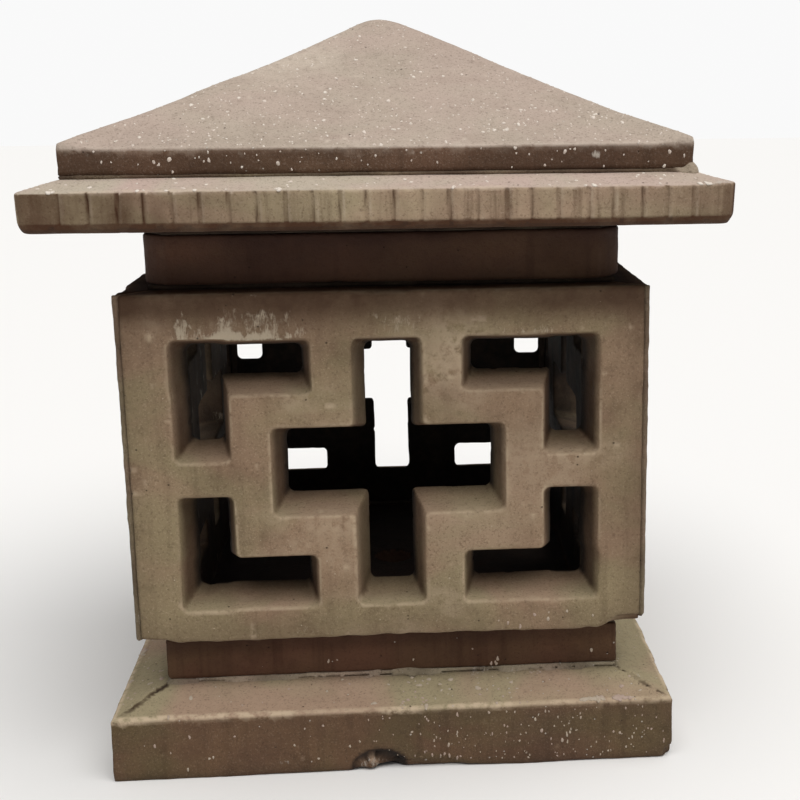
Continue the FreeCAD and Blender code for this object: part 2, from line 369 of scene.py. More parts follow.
def concrete(name, body, body2, dark, top, pale, lime=(0.58, 0.52, 0.45), speck_scale=150.0,
             bump=1.0, streak=0.5, tint=0.6, grain=0.22):
    """Weathered cast concrete.  The mesh's point attributes say where it is
    rubbed, partly with painted highlights (wear), stained, partly with painted
    shade (grime), dusty on top (top), bloomed with salt (salt), splashed (speck)
    and sooty, mostly painted shade inside (soot)."""
    g = Graph(name)
    wear_and_highlight, grime_and_shade, soot_and_shade = g.attr("wear_and_highlight"), g.attr("grime_and_shade"), g.attr("soot_and_shade")
    top_a, salt, speck = g.attr("top"), g.attr("salt"), g.attr("speck")

    # broad clouds of two body colours, then streaks that run down the face
    cloud = g.noise(9.0, 4.0, 0.6, distortion=0.4)
    col = g.mix(g.step(cloud, 0.36, 0.66), body, body2)
    run = g.noise(1.0, 3.0, 0.6, vec=g.scaled((85.0, 85.0, 5.0)))
    col = g.mix(g.math("MULTIPLY", g.step(run, 0.50, 0.74), streak), col, dark)
    blot = g.noise(24.0, 5.0, 0.65)
    col = g.mix(g.math("MULTIPLY", g.step(blot, 0.48, 0.72), 0.30), col, dark)

    # pale dust on what faces up, broken where rain has washed it; the same mask carries a painted pool of light on the
    # front panel
    wash = g.noise(38.0, 5.0, 0.68)
    topmix = g.math("MULTIPLY", top_a, g.math("ADD", g.math("MULTIPLY", g.step(wash, 0.25, 0.6), 0.15), 0.85))
    col = g.mix(topmix, col, top)

    # algae green and iron rose drift over each other
    drift = g.noise(6.5, 3.0, 0.55, vec=g.scaled((1.0, 1.0, 1.6)), distortion=0.8)
    hue = g.mix(g.step(drift, 0.38, 0.62), (1.07, 0.95, 0.93), (0.93, 1.03, 0.86))
    col = g.mix(tint, col, hue, blend="MULTIPLY")

    # sand grains of several tones
    g1 = g.noise(560.0, 2.0, 0.7)
    col = g.mix(g.math("MULTIPLY", g.step(g1, 0.53, 0.70), grain), col, pale)
    g2 = g.noise(430.0, 2.0, 0.7, vec=g.scaled((1.0, 1.13, 0.94)))
    col = g.mix(g.math("MULTIPLY", g.step(g2, 0.53, 0.72), 0.40), col, dark)
    g3 = g.noise(170.0, 3.0, 0.7, vec=g.scaled((0.9, 1.05, 1.2)))
    col = g.mix(g.math("MULTIPLY", g.step(g3, 0.55, 0.75), 0.26), col, dark)

    # rubbed arrises show the paler sand inside, partly painted highlights on arrises
    edge = g.math("MULTIPLY", wear_and_highlight, g.step(g.noise(120.0, 3.0, 0.6), 0.30, 0.56), clamp=True)
    col = g.mix(g.math("MULTIPLY", edge, 0.8), col, pale)

    # damp staining, and painted shade in reveals, grooves, creases, hollows, under overhangs and in joints
    stain_and_shade = g.math("MULTIPLY", grime_and_shade, g.math("ADD", g.math("MULTIPLY", g.noise(45.0, 4.0, 0.6), 0.7), 0.62), clamp=True)
    col = g.mix(stain_and_shade, col, dark)

    # painted shade inside the chamber and in hollows, partly soot
    soot_shade_mix = g.math("MULTIPLY", soot_and_shade, g.math("ADD", g.math("MULTIPLY", g.noise(60.0, 4.0, 0.65), 0.6), 0.66), clamp=True)
    col = g.mix(soot_shade_mix, col, (0.016, 0.011, 0.008))

    # lime bloom that creeps along in fine upright flames
    flame = g.noise(1.0, 4.0, 0.7, vec=g.scaled((300.0, 300.0, 95.0)), distortion=0.8)
    body_n = g.noise(70.0, 4.0, 0.65)
    bloom = g.step(g.math("ADD", g.math("ADD", salt, g.math("MULTIPLY", g.math("SUBTRACT", flame, 0.5), 1.3)),
                          g.math("MULTIPLY", g.math("SUBTRACT", body_n, 0.5), 0.9)), 0.42, 0.80)
    bloom = g.math("MULTIPLY", bloom, g.step(salt, 0.02, 0.25))
    col = g.mix(g.math("MULTIPLY", bloom, 0.74), col, lime)

    # fine splashes: one round drop in some cells, more where the attribute says
    v = g.voronoi(speck_scale)
    cell = g.node("ShaderNodeSeparateColor")
    g.put(cell.inputs[0], v.outputs["Color"])
    wob = g.math("MULTIPLY", g.math("SUBTRACT", g.noise(520.0, 1.0, 0.5), 0.5), 0.2)
    dist = g.math("ADD", v.outputs["Distance"], wob)
    radius = g.math("ADD", g.math("MULTIPLY", cell.outputs[1], 0.12), 0.05)
    drop = g.math("SUBTRACT", 1.0, g.step(g.math("DIVIDE", dist, radius), 0.75, 1.1))
    drop = g.math("MULTIPLY", drop, g.math("LESS_THAN", cell.outputs[0], speck))
    col = g.mix(g.math("MULTIPLY", drop, 0.7), col, lime)

    # small open pits, painted darker: painted shade in them
    v2 = g.voronoi(150.0, vec=g.scaled((1.0, 0.93, 1.07)))
    cell2 = g.node("ShaderNodeSeparateColor")
    g.put(cell2.inputs[0], v2.outputs["Color"])
    r2 = g.math("ADD", g.math("MULTIPLY", cell2.outputs[1], 0.12), 0.05)
    pit = g.math("SUBTRACT", 1.0, g.step(g.math("DIVIDE", v2.outputs["Distance"], r2), 0.6, 1.15))
    pit = g.math("MULTIPLY", pit, g.math("LESS_THAN", cell2.outputs[0], 0.07))
    col = g.mix(g.math("MULTIPLY", pit, 0.7), col, tuple(c * 0.5 for c in dark))

    bsdf = g.node("ShaderNodeBsdfPrincipled")
    g.put(bsdf.inputs["Base Color"], col)
    r = g.math("ADD", g.math("MULTIPLY", g.noise(75.0, 3.0, 0.6), 0.18), 0.78)
    r = g.math("SUBTRACT", r, g.math("MULTIPLY", stain_and_shade, 0.12), clamp=True)
    g.put(bsdf.inputs["Roughness"], r)
    bsdf.inputs["Specular IOR Level"].default_value = 0.25

    # relief: sand, pits down, drops and bloom up
    fine = g.noise(800.0, 3.0, 0.7)
    mid = g.noise(210.0, 4.0, 0.66)
    hgt = g.math("ADD", g.math("MULTIPLY", fine, 0.55), g.math("MULTIPLY", mid, 1.15))
    hgt = g.math("SUBTRACT", hgt, g.math("MULTIPLY", pit, 1.4))
    hgt = g.math("ADD", hgt, g.math("MULTIPLY", drop, 0.8))
    hgt = g.math("ADD", hgt, g.math("MULTIPLY", bloom, 0.35))
    b = g.node("ShaderNodeBump")
    b.inputs["Strength"].default_value = 0.85
    b.inputs["Distance"].default_value = 0.0011 * bump
    g.put(b.inputs["Height"], hgt)
    g.put(bsdf.inputs["Normal"], b.outputs[0])
    out = g.node("ShaderNodeOutputMaterial")
    g.nt.links.new(bsdf.outputs[0], out.inputs["Surface"])
    return g.mat


M_PANEL = concrete("panel_concrete", (0.305, 0.222, 0.144), (0.262, 0.188, 0.122), (0.080, 0.042, 0.022),
                   (0.36, 0.275, 0.188), (0.54, 0.42, 0.29), lime=(0.54, 0.455, 0.34), bump=1.3, streak=0.25, tint=0.65, grain=0.26)
M_SLAB = concrete("slab_concrete", (0.141, 0.089, 0.050), (0.117, 0.072, 0.044), (0.045, 0.024, 0.014),
                  (0.375, 0.288, 0.205), (0.60, 0.47, 0.33), streak=0.30, tint=0.85, grain=0.10)
M_PLINTH = concrete("plinth_concrete", (0.131, 0.066, 0.038), (0.110, 0.055, 0.031), (0.039, 0.0138, 0.0070),
                    (0.14, 0.085, 0.055), (0.26, 0.17, 0.12), streak=0.45, grain=0.06)
M_EAVE = concrete("eave_concrete", (0.400, 0.303, 0.209), (0.315, 0.232, 0.160), (0.066, 0.0265, 0.0105),
                  (0.485, 0.395, 0.345), (0.56, 0.45, 0.34), streak=0.55, tint=0.55)
M_CAP = concrete("cap_concrete", (0.143, 0.081, 0.051), (0.118, 0.066, 0.040), (0.048, 0.025, 0.014),
                 (0.458, 0.372, 0.312), (0.62, 0.53, 0.44), streak=0.3, tint=0.2, grain=0.14)
M_MORTAR = concrete("mortar", (0.27, 0.20, 0.138), (0.20, 0.145, 0.098), (0.048, 0.027, 0.016),
                    (0.44, 0.36, 0.29), (0.52, 0.43, 0.34), bump=1.8, streak=0.2)


def lime_material(name, light, rosy):
    """Splashed lime: pale, slightly stained, matt, crazed."""
    g = Graph(name)
    tone = g.noise(38.0, 2.0, 0.5)
    col = g.mix(g.step(tone, 0.42, 0.62), light, rosy)
    dirt = g.noise(330.0, 4.0, 0.7)
    col = g.mix(g.math("MULTIPLY", g.step(dirt, 0.46, 0.66), 0.45), col, (0.30, 0.22, 0.15))
    worn = g.noise(120.0, 3.0, 0.6)
    col = g.mix(g.math("MULTIPLY", g.step(worn, 0.54, 0.7), 0.3), col, (0.42, 0.30, 0.24))
    bsdf = g.node("ShaderNodeBsdfPrincipled")
    g.put(bsdf.inputs["Base Color"], col)
    g.put(bsdf.inputs["Roughness"], g.math("ADD", g.math("MULTIPLY", dirt, 0.2), 0.75))
    bsdf.inputs["Specular IOR Level"].default_value = 0.25
    b = g.node("ShaderNodeBump")
    b.inputs["Strength"].default_value = 0.6
    b.inputs["Distance"].default_value = 0.0004
    g.put(b.inputs["Height"], g.noise(900.0, 3.0, 0.65))
    g.put(bsdf.inputs["Normal"], b.outputs[0])
    out = g.node("ShaderNodeOutputMaterial")
    g.nt.links.new(bsdf.outputs[0], out.inputs["Surface"])
    return g.mat


M_LIME = lime_material("lime_splash", (0.46, 0.385, 0.30), (0.43, 0.325, 0.27))
M_LIME_ROOF = lime_material("lime_splash_roof", (0.73, 0.66, 0.58), (0.68, 0.59, 0.52))


# --------------------------------------------------- sizes read off the CAD
def node_box(name):
    lo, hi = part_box(name)
    return np.array(lo) * 1000.0, np.array(hi) * 1000.0


SLAB_LO, SLAB_HI = node_box("ground_slab")
PB_LO, PB_HI = node_box("plinth_bed")
PL_LO, PL_HI = node_box("plinth_block")
BB_LO, BB_HI = node_box("body_bed")
FP_LO, FP_HI = node_box("front_panel")
TB_LO, TB_HI = node_box("top_bed")
CO_LO, CO_HI = node_box("collar")
EB_LO, EB_HI = node_box("eave_bed")
EV_LO, EV_HI = node_box("eave_slab")
CB_LO, CB_HI = node_box("cap_bed")
RC_LO, RC_HI = node_box("roof_cap")
CABLE_R = 20.0


def rot(p, turn):
    """Turns points by quarter turns about Z."""
    x, y, z = p[:, 0], p[:, 1], p[:, 2]
    for _ in range(turn % 4):
        x, y = -y, x
    return np.stack([x, y, z], 1)


def base_attrs(p, n):
    z = np.zeros(len(p))
    return {k: z.copy() for k in ("wear_and_highlight", "grime_and_shade", "top", "salt", "speck", "soot_and_shade")}


# ------------------------------------------------------------- fret panels
BODY_HALF = -FP_LO[1]
PT = FP_HI[1] - FP_LO[1]
PZ0, PZ1 = FP_LO[2], FP_HI[2]
PH = PZ1 - PZ0
PK = 12.0 / PT                      # taper of the openings
RECTS = []                          # (centre u, centre v, half u, half v) and the opening they belong to
U_OUT, U_IN, U_END = 193.5, 142.0, 67.5
for sgn in (-1, 1):
    RECTS.append([(sgn * (U_OUT + U_IN) / 2, (174.0 + 286.0) / 2, (U_OUT - U_IN) / 2, (286.0 - 174.0) / 2),
                  (sgn * (U_OUT + U_END) / 2, (236.0 + 286.0) / 2, (U_OUT - U_END) / 2, (286.0 - 236.0) / 2)])
    RECTS.append([(sgn * (U_OUT + U_IN) / 2, (32.0 + 142.0) / 2, (U_OUT - U_IN) / 2, (142.0 - 32.0) / 2),
                  (sgn * (U_OUT + U_END) / 2, (32.0 + 83.0) / 2, (U_OUT - U_END) / 2, (83.0 - 32.0) / 2)])
RECTS.append([(0.0, (32.0 + 286.0) / 2, 32.0, (286.0 - 32.0) / 2),
              (0.0, (121.0 + 205.0) / 2, 107.0, (205.0 - 121.0) / 2)])


def round_rect(u, v, cu, cv, hu, hv, r):
    qx = np.abs(u - cu) - (hu - r)
    qy = np.abs(v - cv) - (hv - r)
    return np.hypot(np.maximum(qx, 0), np.maximum(qy, 0)) + np.minimum(np.maximum(qx, qy), 0) - r


def panel_openings(u, v, w):
    """Distance outside the nearest opening; the openings narrow with depth."""
    t = PK * np.clip(w, -4.0, PT + 4.0)
    best = None
    for pair in RECTS:
        a = round_rect(u, v, pair[0][0], pair[0][1], pair[0][2] - t, pair[0][3] - t, 6.0)
        b = round_rect(u, v, pair[1][0], pair[1][1], pair[1][2] - t, pair[1][3] - t, 6.0)
        d = smin(a, b, 5.0)
        best = d if best is None else np.minimum(best, d)
    return best * 0.97


def panel_shell(u, v, w, k):
    mitre = (np.abs(u) - BODY_HALF + w) * 0.7071 + 1.5
    s = smax(-w, mitre, np.minimum(k, 0.9))
    s = smax(s, w - PT, 3.0)
    s = smax(s, -v, k)
    return smax(s, v - PH, k)


def panel_plain(p):
    u, v, w = p[:, 0], p[:, 2] - PZ0, p[:, 1] + BODY_HALF
    return smax(panel_shell(u, v, w, 3.5), -panel_openings(u, v, w), 3.5)


def corner_wear(u, v, k_corner):
    """Broken lower corners of the body: how much is gone, in millimetres."""
    x = np.abs(u)
    return v - k_corner * ramp(x, 196.0, 224.0)


def make_panel_field(turn, lower_right, lower_left):
    def field(p, sharp=False):
        w_ = rot(p, turn)            # world points, for the noise
        u, v, w = p[:, 0], p[:, 2] - PZ0, p[:, 1] + BODY_HALF
        if sharp:
            return np.maximum(panel_shell(u, v, w, 0.3), -panel_openings(u, v, w))
        chip = clip01(noise(w_, 21.0, 61) * 1.9 - 0.75)
        k1 = 3.2 + 1.2 * noise(w_, 60.0, 60) + 7.0 * chip
        k2 = 3.0 + 1.0 * noise(w_, 40.0, 62) + 4.0 * clip01(noise(w_, 13.0, 63) * 1.8 - 0.8)
        s = panel_shell(u, v, w, k1)
        # broken lower corners
        gone = np.where(u > 0, lower_right, lower_left)
        edge = gone * ramp(np.abs(u), 193.0, 214.0) + 1.2 * noise(w_, 9.0, 64) * (gone > 4)
        s = smax(s, edge - v, 4.0)
        f = smax(s, -panel_openings(u, v, w), k2)
        # the upright arrises are nibbled
        arris = ramp(np.abs(u), 222.0, 236.0) * ramp(-w, -16.0, -3.0)
        nib = clip01(noise(w_, (19.0, 19.0, 31.0), 66) * 1.8 - 0.8) + 0.4 * clip01(noise(w_, 5.5, 67) * 1.6 - 0.6)
        f = f + 0.6 * arris * nib
        # a few open bug holes
        f = f + rough(w_, 10, 0.75)
        bug = noise(w_, 11.0, 65)
        f = f + 1.3 * clip01((bug - 0.70) * 5.0)
        return f
    return field


def build_panels():
    verts, faces = grid_solid(panel_plain, (FP_LO[0], FP_LO[1], PZ0), (FP_HI[0], FP_HI[1], PZ1), H_PANEL)
    print("panel grid", len(verts), "t", round(time.time() - T0, 1))
    names = ["front_panel", "right_panel", "rear_panel", "left_panel"]
    broken = {0: (12.5, 5.0), 1: (4.0, 12.5), 2: (3.0, 4.0), 3: (5.0, 3.0)}
    for turn, name in enumerate(names):
        f = make_panel_field(turn, *broken[turn])
        p = settle(f, verts.copy())
        n = unit_normals(f, p)
        w_ = rot(p, turn)
        u, v, w = p[:, 0], p[:, 2] - PZ0, p[:, 1] + BODY_HALF
        A = base_attrs(p, n)
        # the front arrises are rubbed pale, partly painted highlights
        A["wear_and_highlight"] = clip01(-f(p, sharp=True) / 0.9 - 0.15) * ramp(-w, -30.0, -4.0)
        face = ramp(-n[:, 1], 0.6, 0.9) * (w < 12)
        # the sills' front arrises are rubbed pale, with a painted highlight where they face up
        A["wear_and_highlight"] = np.maximum(A["wear_and_highlight"], 0.85 * ramp(n[:, 2], 0.25, 0.6) * ramp(-w, -4.6, -2.0) * (v > 10.0)
                               * clip01(0.65 + 0.6 * noise(w_, 24.0, 78)))
        A["top"] = ramp(n[:, 2], 0.45, 0.85) * ramp(-w, -46.0, -10.0) * 0.8
        # a painted pool of light on the front face low on the right, laid on as pale dust
        lit_field = np.exp(-((u - 85.0) / 70.0) ** 2 - ((v - 120.0) / 62.0) ** 2)
        A["top"] = clip01(A["top"] + 0.9 * face * lit_field * clip01(0.7 + 0.5 * noise(w_, 26.0, 77)))
        # under the eave the top rail is painted darker, a painted shade of the eave; low on the body the splash zone is
        # brown
        eave_shade = ramp(v, 291.0, 318.0) * 0.77 + ramp(v, 262.0, 304.0) * 0.12
        low = ramp(-v, -34.0, -4.0) * 0.20
        side = ramp(np.abs(u), 208.0, 236.0) * 0.16 + ramp(u, 190.0, 215.0) * 0.06
        # painted shade deep in the reveals, less on sills that face up, and on faces turned down
        reveal_shade = (1 - face) * ramp(w, 2.0, 18.0)
        sill = ramp(n[:, 2], 0.4, 0.8)
        underside_shade = ramp(-n[:, 2], 0.3, 0.8) * 0.5
        A["grime_and_shade"] = clip01(eave_shade + low + side + reveal_shade * (0.75 - 0.45 * sill) + underside_shade
                            + 0.30 * clip01(noise(w_, 90.0, 70)) - 0.2 * A["top"])
        # painted shade deep inside the chamber, partly soot, less on sills
        A["soot_and_shade"] = clip01(ramp(w, 26.0, 46.0) * (0.92 - 0.55 * sill) + ramp(w, 46.0, 47.2))
        # painted light low on the right: a pool of light on the field and its sills, and on the stem's faces turned
        # right; painted shade on faces turned left
        lit_patch = np.exp(-((u - 85.0) / 75.0) ** 2 - ((v - 120.0) / 62.0) ** 2) * (w < 46.5)
        A["grime_and_shade"] *= 1 - (0.55 + 0.3 * sill) * lit_patch
        stem_lit = ramp(n[:, 0], 0.5, 0.9) * (np.abs(u) < 60.0) * (w < 46.5)
        A["grime_and_shade"] *= 1 - 0.3 * stem_lit
        left_face_shade = 0.18 + 0.22 * (np.abs(u) > 150.0)
        A["soot_and_shade"] = clip01(A["soot_and_shade"] * (1 - 0.85 * stem_lit) * (1 - 0.6 * lit_patch * sill)
                           + left_face_shade * ramp(-n[:, 0], 0.5, 0.9) * ramp(w, 4.0, 20.0))
        # the side panels' reveals are painted dark inside: painted shade, partly soot
        if turn in (1, 3):
            side_inside_shade = (0.80 if turn == 1 else 0.50) + 0.25 * noise(w_, 26.0, 73)
            A["soot_and_shade"] = clip01(ramp(w, 4.0, 26.0) * side_inside_shade + A["soot_and_shade"] * 0.12)

        # lime bloom above the upper openings, strongest over the left one
        line = np.stack([u, v * 0.12, w * 0.0], 1)
        tall = clip01(0.45 + 0.75 * noise(line, 5.0, 74) + 0.45 * noise(line, 17.0, 75))

        def flames(a, b, base, height, share):
            span = ramp(u, a - 7.0, a + 6.0) * ramp(-u, -b - 10.0, -b + 12.0)
            t = (v - base) / (height * (0.35 + 0.95 * tall))
            return share * span * clip01(1.75 - 1.25 * t) * ramp(v, 284.0, 285.5)

        share = {0: (1.0, 0.42, 0.46), 1: (0.5, 0.6, 0.8), 2: (0.7, 0.4, 0.5), 3: (0.6, 0.6, 0.5)}[turn]
        salt = np.maximum.reduce([flames(-160.0, -80.0, 286.0, 8.0, share[0]),
                                  flames(-176.0, -66.0, 286.0, 27.0, 0.46 * share[0]),
                                  flames(-188.0, -168.0, 296.0, 14.0, 0.62 * share[0]),
                                  flames(-150.0, -80.0, 300.0, 15.0, 0.52 * share[0]),
                                  flames(-12.0, 34.0, 300.0, 10.0, share[1]),
                                  flames(102.0, 158.0, 287.0, 12.0, share[2])]) * face
        rail = ramp(v, 320.0, 328.0) * 0.30 * face * clip01(0.3 + noise(w_, (40.0, 40.0, 20.0), 71))
        trowel = 0.42 * clip01(noise(w_, (46.0, 46.0, 8.0), 76) * 1.5 - 0.45) * face
        inside = ramp(w, 6.0, 30.0) * {0: 0.0, 1: 0.15, 2: 0.0, 3: 0.42}[turn] * clip01(0.35 + 1.1 * noise(w_, 13.0, 72))
        A["salt"] = clip01(np.maximum(salt, rail + trowel) + inside)
        A["speck"] = face * (0.04 + 0.10 * ramp(-v, -60.0, -10.0))
        ob = make_object(name + "_cast", w_, faces, A, [M_PANEL], FACES_PANEL)
        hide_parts(name)
        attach(ob, "body")
        print(name, "t", round(time.time() - T0, 1))


# ---------------------------------------------------------- simple castings
def box_field(p, half, z0, z1, k):
    s = smax(np.abs(p[:, 0]) - half, np.abs(p[:, 1]) - half, k)
    s = smax(s, z0 - p[:, 2], k)
    return smax(s, p[:, 2] - z1, k)


def cable_field(p):
    return np.hypot(p[:, 0], p[:, 1]) - CABLE_R


# ground slab
SLAB_HALF = SLAB_HI[0]
SLAB_TOP = SLAB_HI[2]
SLAB_EDGE = 60.0
NECK_HALF = PL_HI[0]


def slab_shell(p, k, dish=0.0):
    r = np.maximum(np.abs(p[:, 0]), np.abs(p[:, 1]))
    t = clip01((SLAB_HALF - r) / (SLAB_HALF - NECK_HALF))
    top = (p[:, 2] - (SLAB_EDGE + (SLAB_TOP - SLAB_EDGE) * t) + dish) * 0.952
    s = smax(np.abs(p[:, 0]) - SLAB_HALF, np.abs(p[:, 1]) - SLAB_HALF, k)
    s = smax(s, top, k)
    return smax(s, -p[:, 2], 3.0)


def slab_plain(p):
    return smax(slab_shell(p, 4.0), -cable_field(p), 1.5)


def slab_field(p, sharp=False):
    if sharp:
        return slab_shell(p, 0.3)
    x, y, z = p[:, 0], p[:, 1], p[:, 2]
    chip = clip01(noise(p, 19.0, 81) * 1.9 - 0.75)
    k = 2.1 + 0.8 * noise(p, 55.0, 80) + 4.5 * chip
    s = slab_shell(p, k)
    # a slight bead runs along the upper arris
    r = np.maximum(np.abs(x), np.abs(y))
    s = s - 0.9 * np.exp(-((r - 258.5) / 3.4) ** 2) * ramp(z, 54.0, 58.0) * (0.6 + 0.5 * noise(p, 24.0, 88))
    # open mitre lines where the four slopes were trowelled against each other
    off = (np.abs(x) - np.abs(y)) * 0.7071 + 1.8 * noise(p, 16.0, 82)
    reach = ramp(r, NECK_HALF - 6.0, NECK_HALF + 3.0) * ramp(-r, -257.0, -247.0)
    wide = 1.1 + 0.6 * noise(p, 12.0, 89) + 0.4 * (x < 0)
    crack = np.hypot(off * 1.0, (z - (SLAB_EDGE + (SLAB_TOP - SLAB_EDGE) * clip01((SLAB_HALF - r) / (SLAB_HALF - NECK_HALF)))) * 0.5) - wide
    s = np.where(reach > 0.01, smax(s, -(crack + (1 - reach) * 3.0), 0.8), s)
    # a trowelled lip of mortar beside each mitre
    lip = np.exp(-((off - 5.2) / 3.0) ** 2) * ramp(r, 222.0, 232.0) * ramp(-r, -254.0, -240.0)
    lip = lip * clip01(0.35 + 1.1 * noise(p, 8.0, 83)) * ramp(z, 55.0, 62.0)
    s = s - 2.6 * lip
    # broken-out hollow low on the front face with a pebble left in it
    cx, cz = -16.0, 2.0
    hollow = np.sqrt(((x - cx) / 24.0) ** 2 + ((y + SLAB_HALF + 2.0) / 15.0) ** 2 + ((z - cz) / 17.5) ** 2)
    hollow = (hollow - 1.0) * 13.0 + 1.8 * noise(p, 6.5, 84)
    s = smax(s, -hollow, 2.0)
    peb = np.sqrt(((x + 25.0) / 8.5) ** 2 + ((y + SLAB_HALF - 5.0) / 7.0) ** 2 + ((z - 6.0) / 6.0) ** 2)
    peb = (peb - 1.0) * 6.5 + 0.9 * noise(p, 4.5, 85)
    s = smin(s, peb, 1.0)
    # a shallow broken patch along the foot of the front face, right of the hollow
    patch = np.sqrt(((x - 26.0) / 40.0) ** 2 + ((y + SLAB_HALF) / 5.0) ** 2 + ((z + 1.0) / 9.0) ** 2)
    s = smax(s, -((patch - 1.0) * 5.0 + noise(p, 8.0, 86)), 2.0)
    corner = np.sqrt((x - SLAB_HALF - 2.0) ** 2 + (y + SLAB_HALF + 2.0) ** 2 + (z - 4.0) ** 2) - 11.0 + 1.5 * noise(p, 6.0, 94)
    s = smax(s, -corner, 1.5)
    s = smax(s, -cable_field(p), 1.5)
    f = s + rough(p, 20, 0.95)
    return f + 1.5 * clip01((noise(p, 10.0, 87) - 0.68) * 5.0) * (z > 3.0)


def build_slab():
    verts, faces = grid_solid(slab_plain, SLAB_LO, SLAB_HI, H_SLAB)
    p = settle(slab_field, verts, 4, 4.0)
    p[:, 2] = np.maximum(p[:, 2], 0.0)
    n = unit_normals(slab_field, p)
    x, y, z = p[:, 0], p[:, 1], p[:, 2]
    r = np.maximum(np.abs(x), np.abs(y))
    A = base_attrs(p, n)
    # the upper arris is rubbed pale, partly a painted highlight where it faces up
    worn_lit_band = ramp(-np.abs(r - 260.6), -3.2, -1.1) * (z > 56.0)
    A["wear_and_highlight"] = clip01(worn_lit_band * (0.5 + 1.0 * clip01(0.45 + noise(p, 30.0, 90))) + 0.6 * worn_lit_band * ramp(-x, 60.0, 190.0))
    off = np.abs(np.abs(x) - np.abs(y)) * 0.7071
    off = np.abs((np.abs(x) - np.abs(y)) * 0.7071 + 1.8 * noise(p, 16.0, 82))
    on_top = (z > 50) * ramp(r, NECK_HALF - 4.0, NECK_HALF + 3.0) * ramp(-r, -259.0, -249.0)
    # painted shade in the open mitre creases
    crease_shade = ramp(-off, -2.1 - 0.5 * (x < 0), -0.8 - 0.3 * (x < 0)) * on_top * clip01(0.75 + 0.8 * noise(p, 19.0, 96))
    lip = ramp(-np.abs((np.abs(x) - np.abs(y)) * 0.7071 + 1.8 * noise(p, 16.0, 82) - 5.2), -4.0, -1.0) * on_top
    A["top"] = ramp(n[:, 2], 0.35, 0.8) * (1 - 0.9 * crease_shade)
    # painted shade in the broken-out hollow, not on the pebble
    hollow = np.sqrt(((x + 16.0) / 28.0) ** 2 + ((y + SLAB_HALF) / 19.0) ** 2 + ((z - 2.0) / 20.5) ** 2)
    hollow_shade = ramp(-hollow, -1.03, -0.86)
    A["grime_and_shade"] = clip01(1.0 * crease_shade + hollow_shade + 0.30 * ramp(-z, -12.0, -1.0)
                        + 0.40 * clip01(noise(p, 80.0, 91)) * (n[:, 2] < 0.5) + ramp(-r, -60.0, -30.0) * 0.6
                        + 0.35 * ramp(-r, -222.0, -216.0) * (z > 60))
    peb = np.sqrt(((x + 25.0) / 10.0) ** 2 + ((y + SLAB_HALF - 5.0) / 9.0) ** 2 + ((z - 6.0) / 7.5) ** 2)
    on_peb = ramp(-peb, -1.05, -0.85)
    A["grime_and_shade"] = A["grime_and_shade"] * (1 - 0.8 * on_peb)
    A["soot_and_shade"] = clip01(0.35 * crease_shade + 0.95 * hollow_shade * (1 - on_peb))
    foot = ramp(-r, -228.0, -217.0) * (z > 64)
    scratch = ramp(-np.hypot((x + 108.0) / 16.0, (z - 12.0) / 3.5), -1.1, -0.6) * (y < -250)
    A["salt"] = clip01(on_peb * 0.5 + 0.42 * foot * clip01(noise(p, 26.0, 92) + 0.3) + 0.55 * lip * clip01(0.4 + noise(p, 9.0, 95))
                       + 0.5 * scratch)
    right = ramp(x, -60.0, 160.0)
    A["speck"] = clip01((0.06 + 0.32 * right) * clip01(0.65 + 0.6 * noise(p, 60.0, 93)) + 0.08 * A["top"])
    ob = make_object("ground_slab_cast", p, faces, A, [M_SLAB], FACES_SLAB)
    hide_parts("ground_slab")
    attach(ob, "body")
    print("slab t", round(time.time() - T0, 1))


# plinth block
def plinth_plain(p):
    s = box_field(p, NECK_HALF, PL_LO[2], PL_HI[2], 2.5)
    return smax(s, -cable_field(p), 1.5)


def plinth_field(p, sharp=False):
    if sharp:
        return box_field(p, NECK_HALF, PL_LO[2], PL_HI[2], 0.3)
    k = 2.8 + 1.0 * noise(p, 45.0, 100) + 4.0 * clip01(noise(p, 17.0, 101) * 1.8 - 0.8)
    s = box_field(p, NECK_HALF, PL_LO[2], PL_HI[2], k)
    s = smax(s, -cable_field(p), 1.5)
    drag = 0.22 * noise(p, (90.0, 90.0, 4.0), 102)
    return s + rough(p, 30, 0.6) + drag


def build_plinth():
    verts, faces = grid_solid(plinth_plain, PL_LO, PL_HI, H_PLAIN)
    p = settle(plinth_field, verts)
    n = unit_normals(plinth_field, p)
    z = p[:, 2]
    A = base_attrs(p, n)
    A["wear_and_highlight"] = clip01(-plinth_field(p, sharp=True) / 1.2 - 0.4) * 0.4
    r = np.maximum(np.abs(p[:, 0]), np.abs(p[:, 1]))
    # painted shade on the chamber floor inside the plinth's top and on its sides just below the panels
    inside = (n[:, 2] > 0.5) * (r < 190.0)
    A["grime_and_shade"] = clip01(0.25 + 0.35 * noise(p, (120.0, 120.0, 22.0), 110) + 0.5 * inside
                        + 0.35 * ramp(z, PL_HI[2] - 22.0, PL_HI[2] - 4.0) * (n[:, 2] < 0.5))
    A["speck"] = clip01(0.06 + 0.30 * ramp(-z, -PL_LO[2] - 20.0, -PL_LO[2] - 4.0) * clip01(noise(p, 50.0, 111) + 0.35))
    A["speck"] = A["speck"] * (n[:, 2] < 0.5)
    A["soot_and_shade"] = 0.85 * inside
    ob = make_object("plinth_block_cast", p, faces, A, [M_PLINTH], FACES_PLAIN)
    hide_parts("plinth_block")
    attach(ob, "body")
    print("plinth t", round(time.time() - T0, 1))


# collar: a square ring with blunted upright corners
COLLAR_HALF = CO_HI[0]


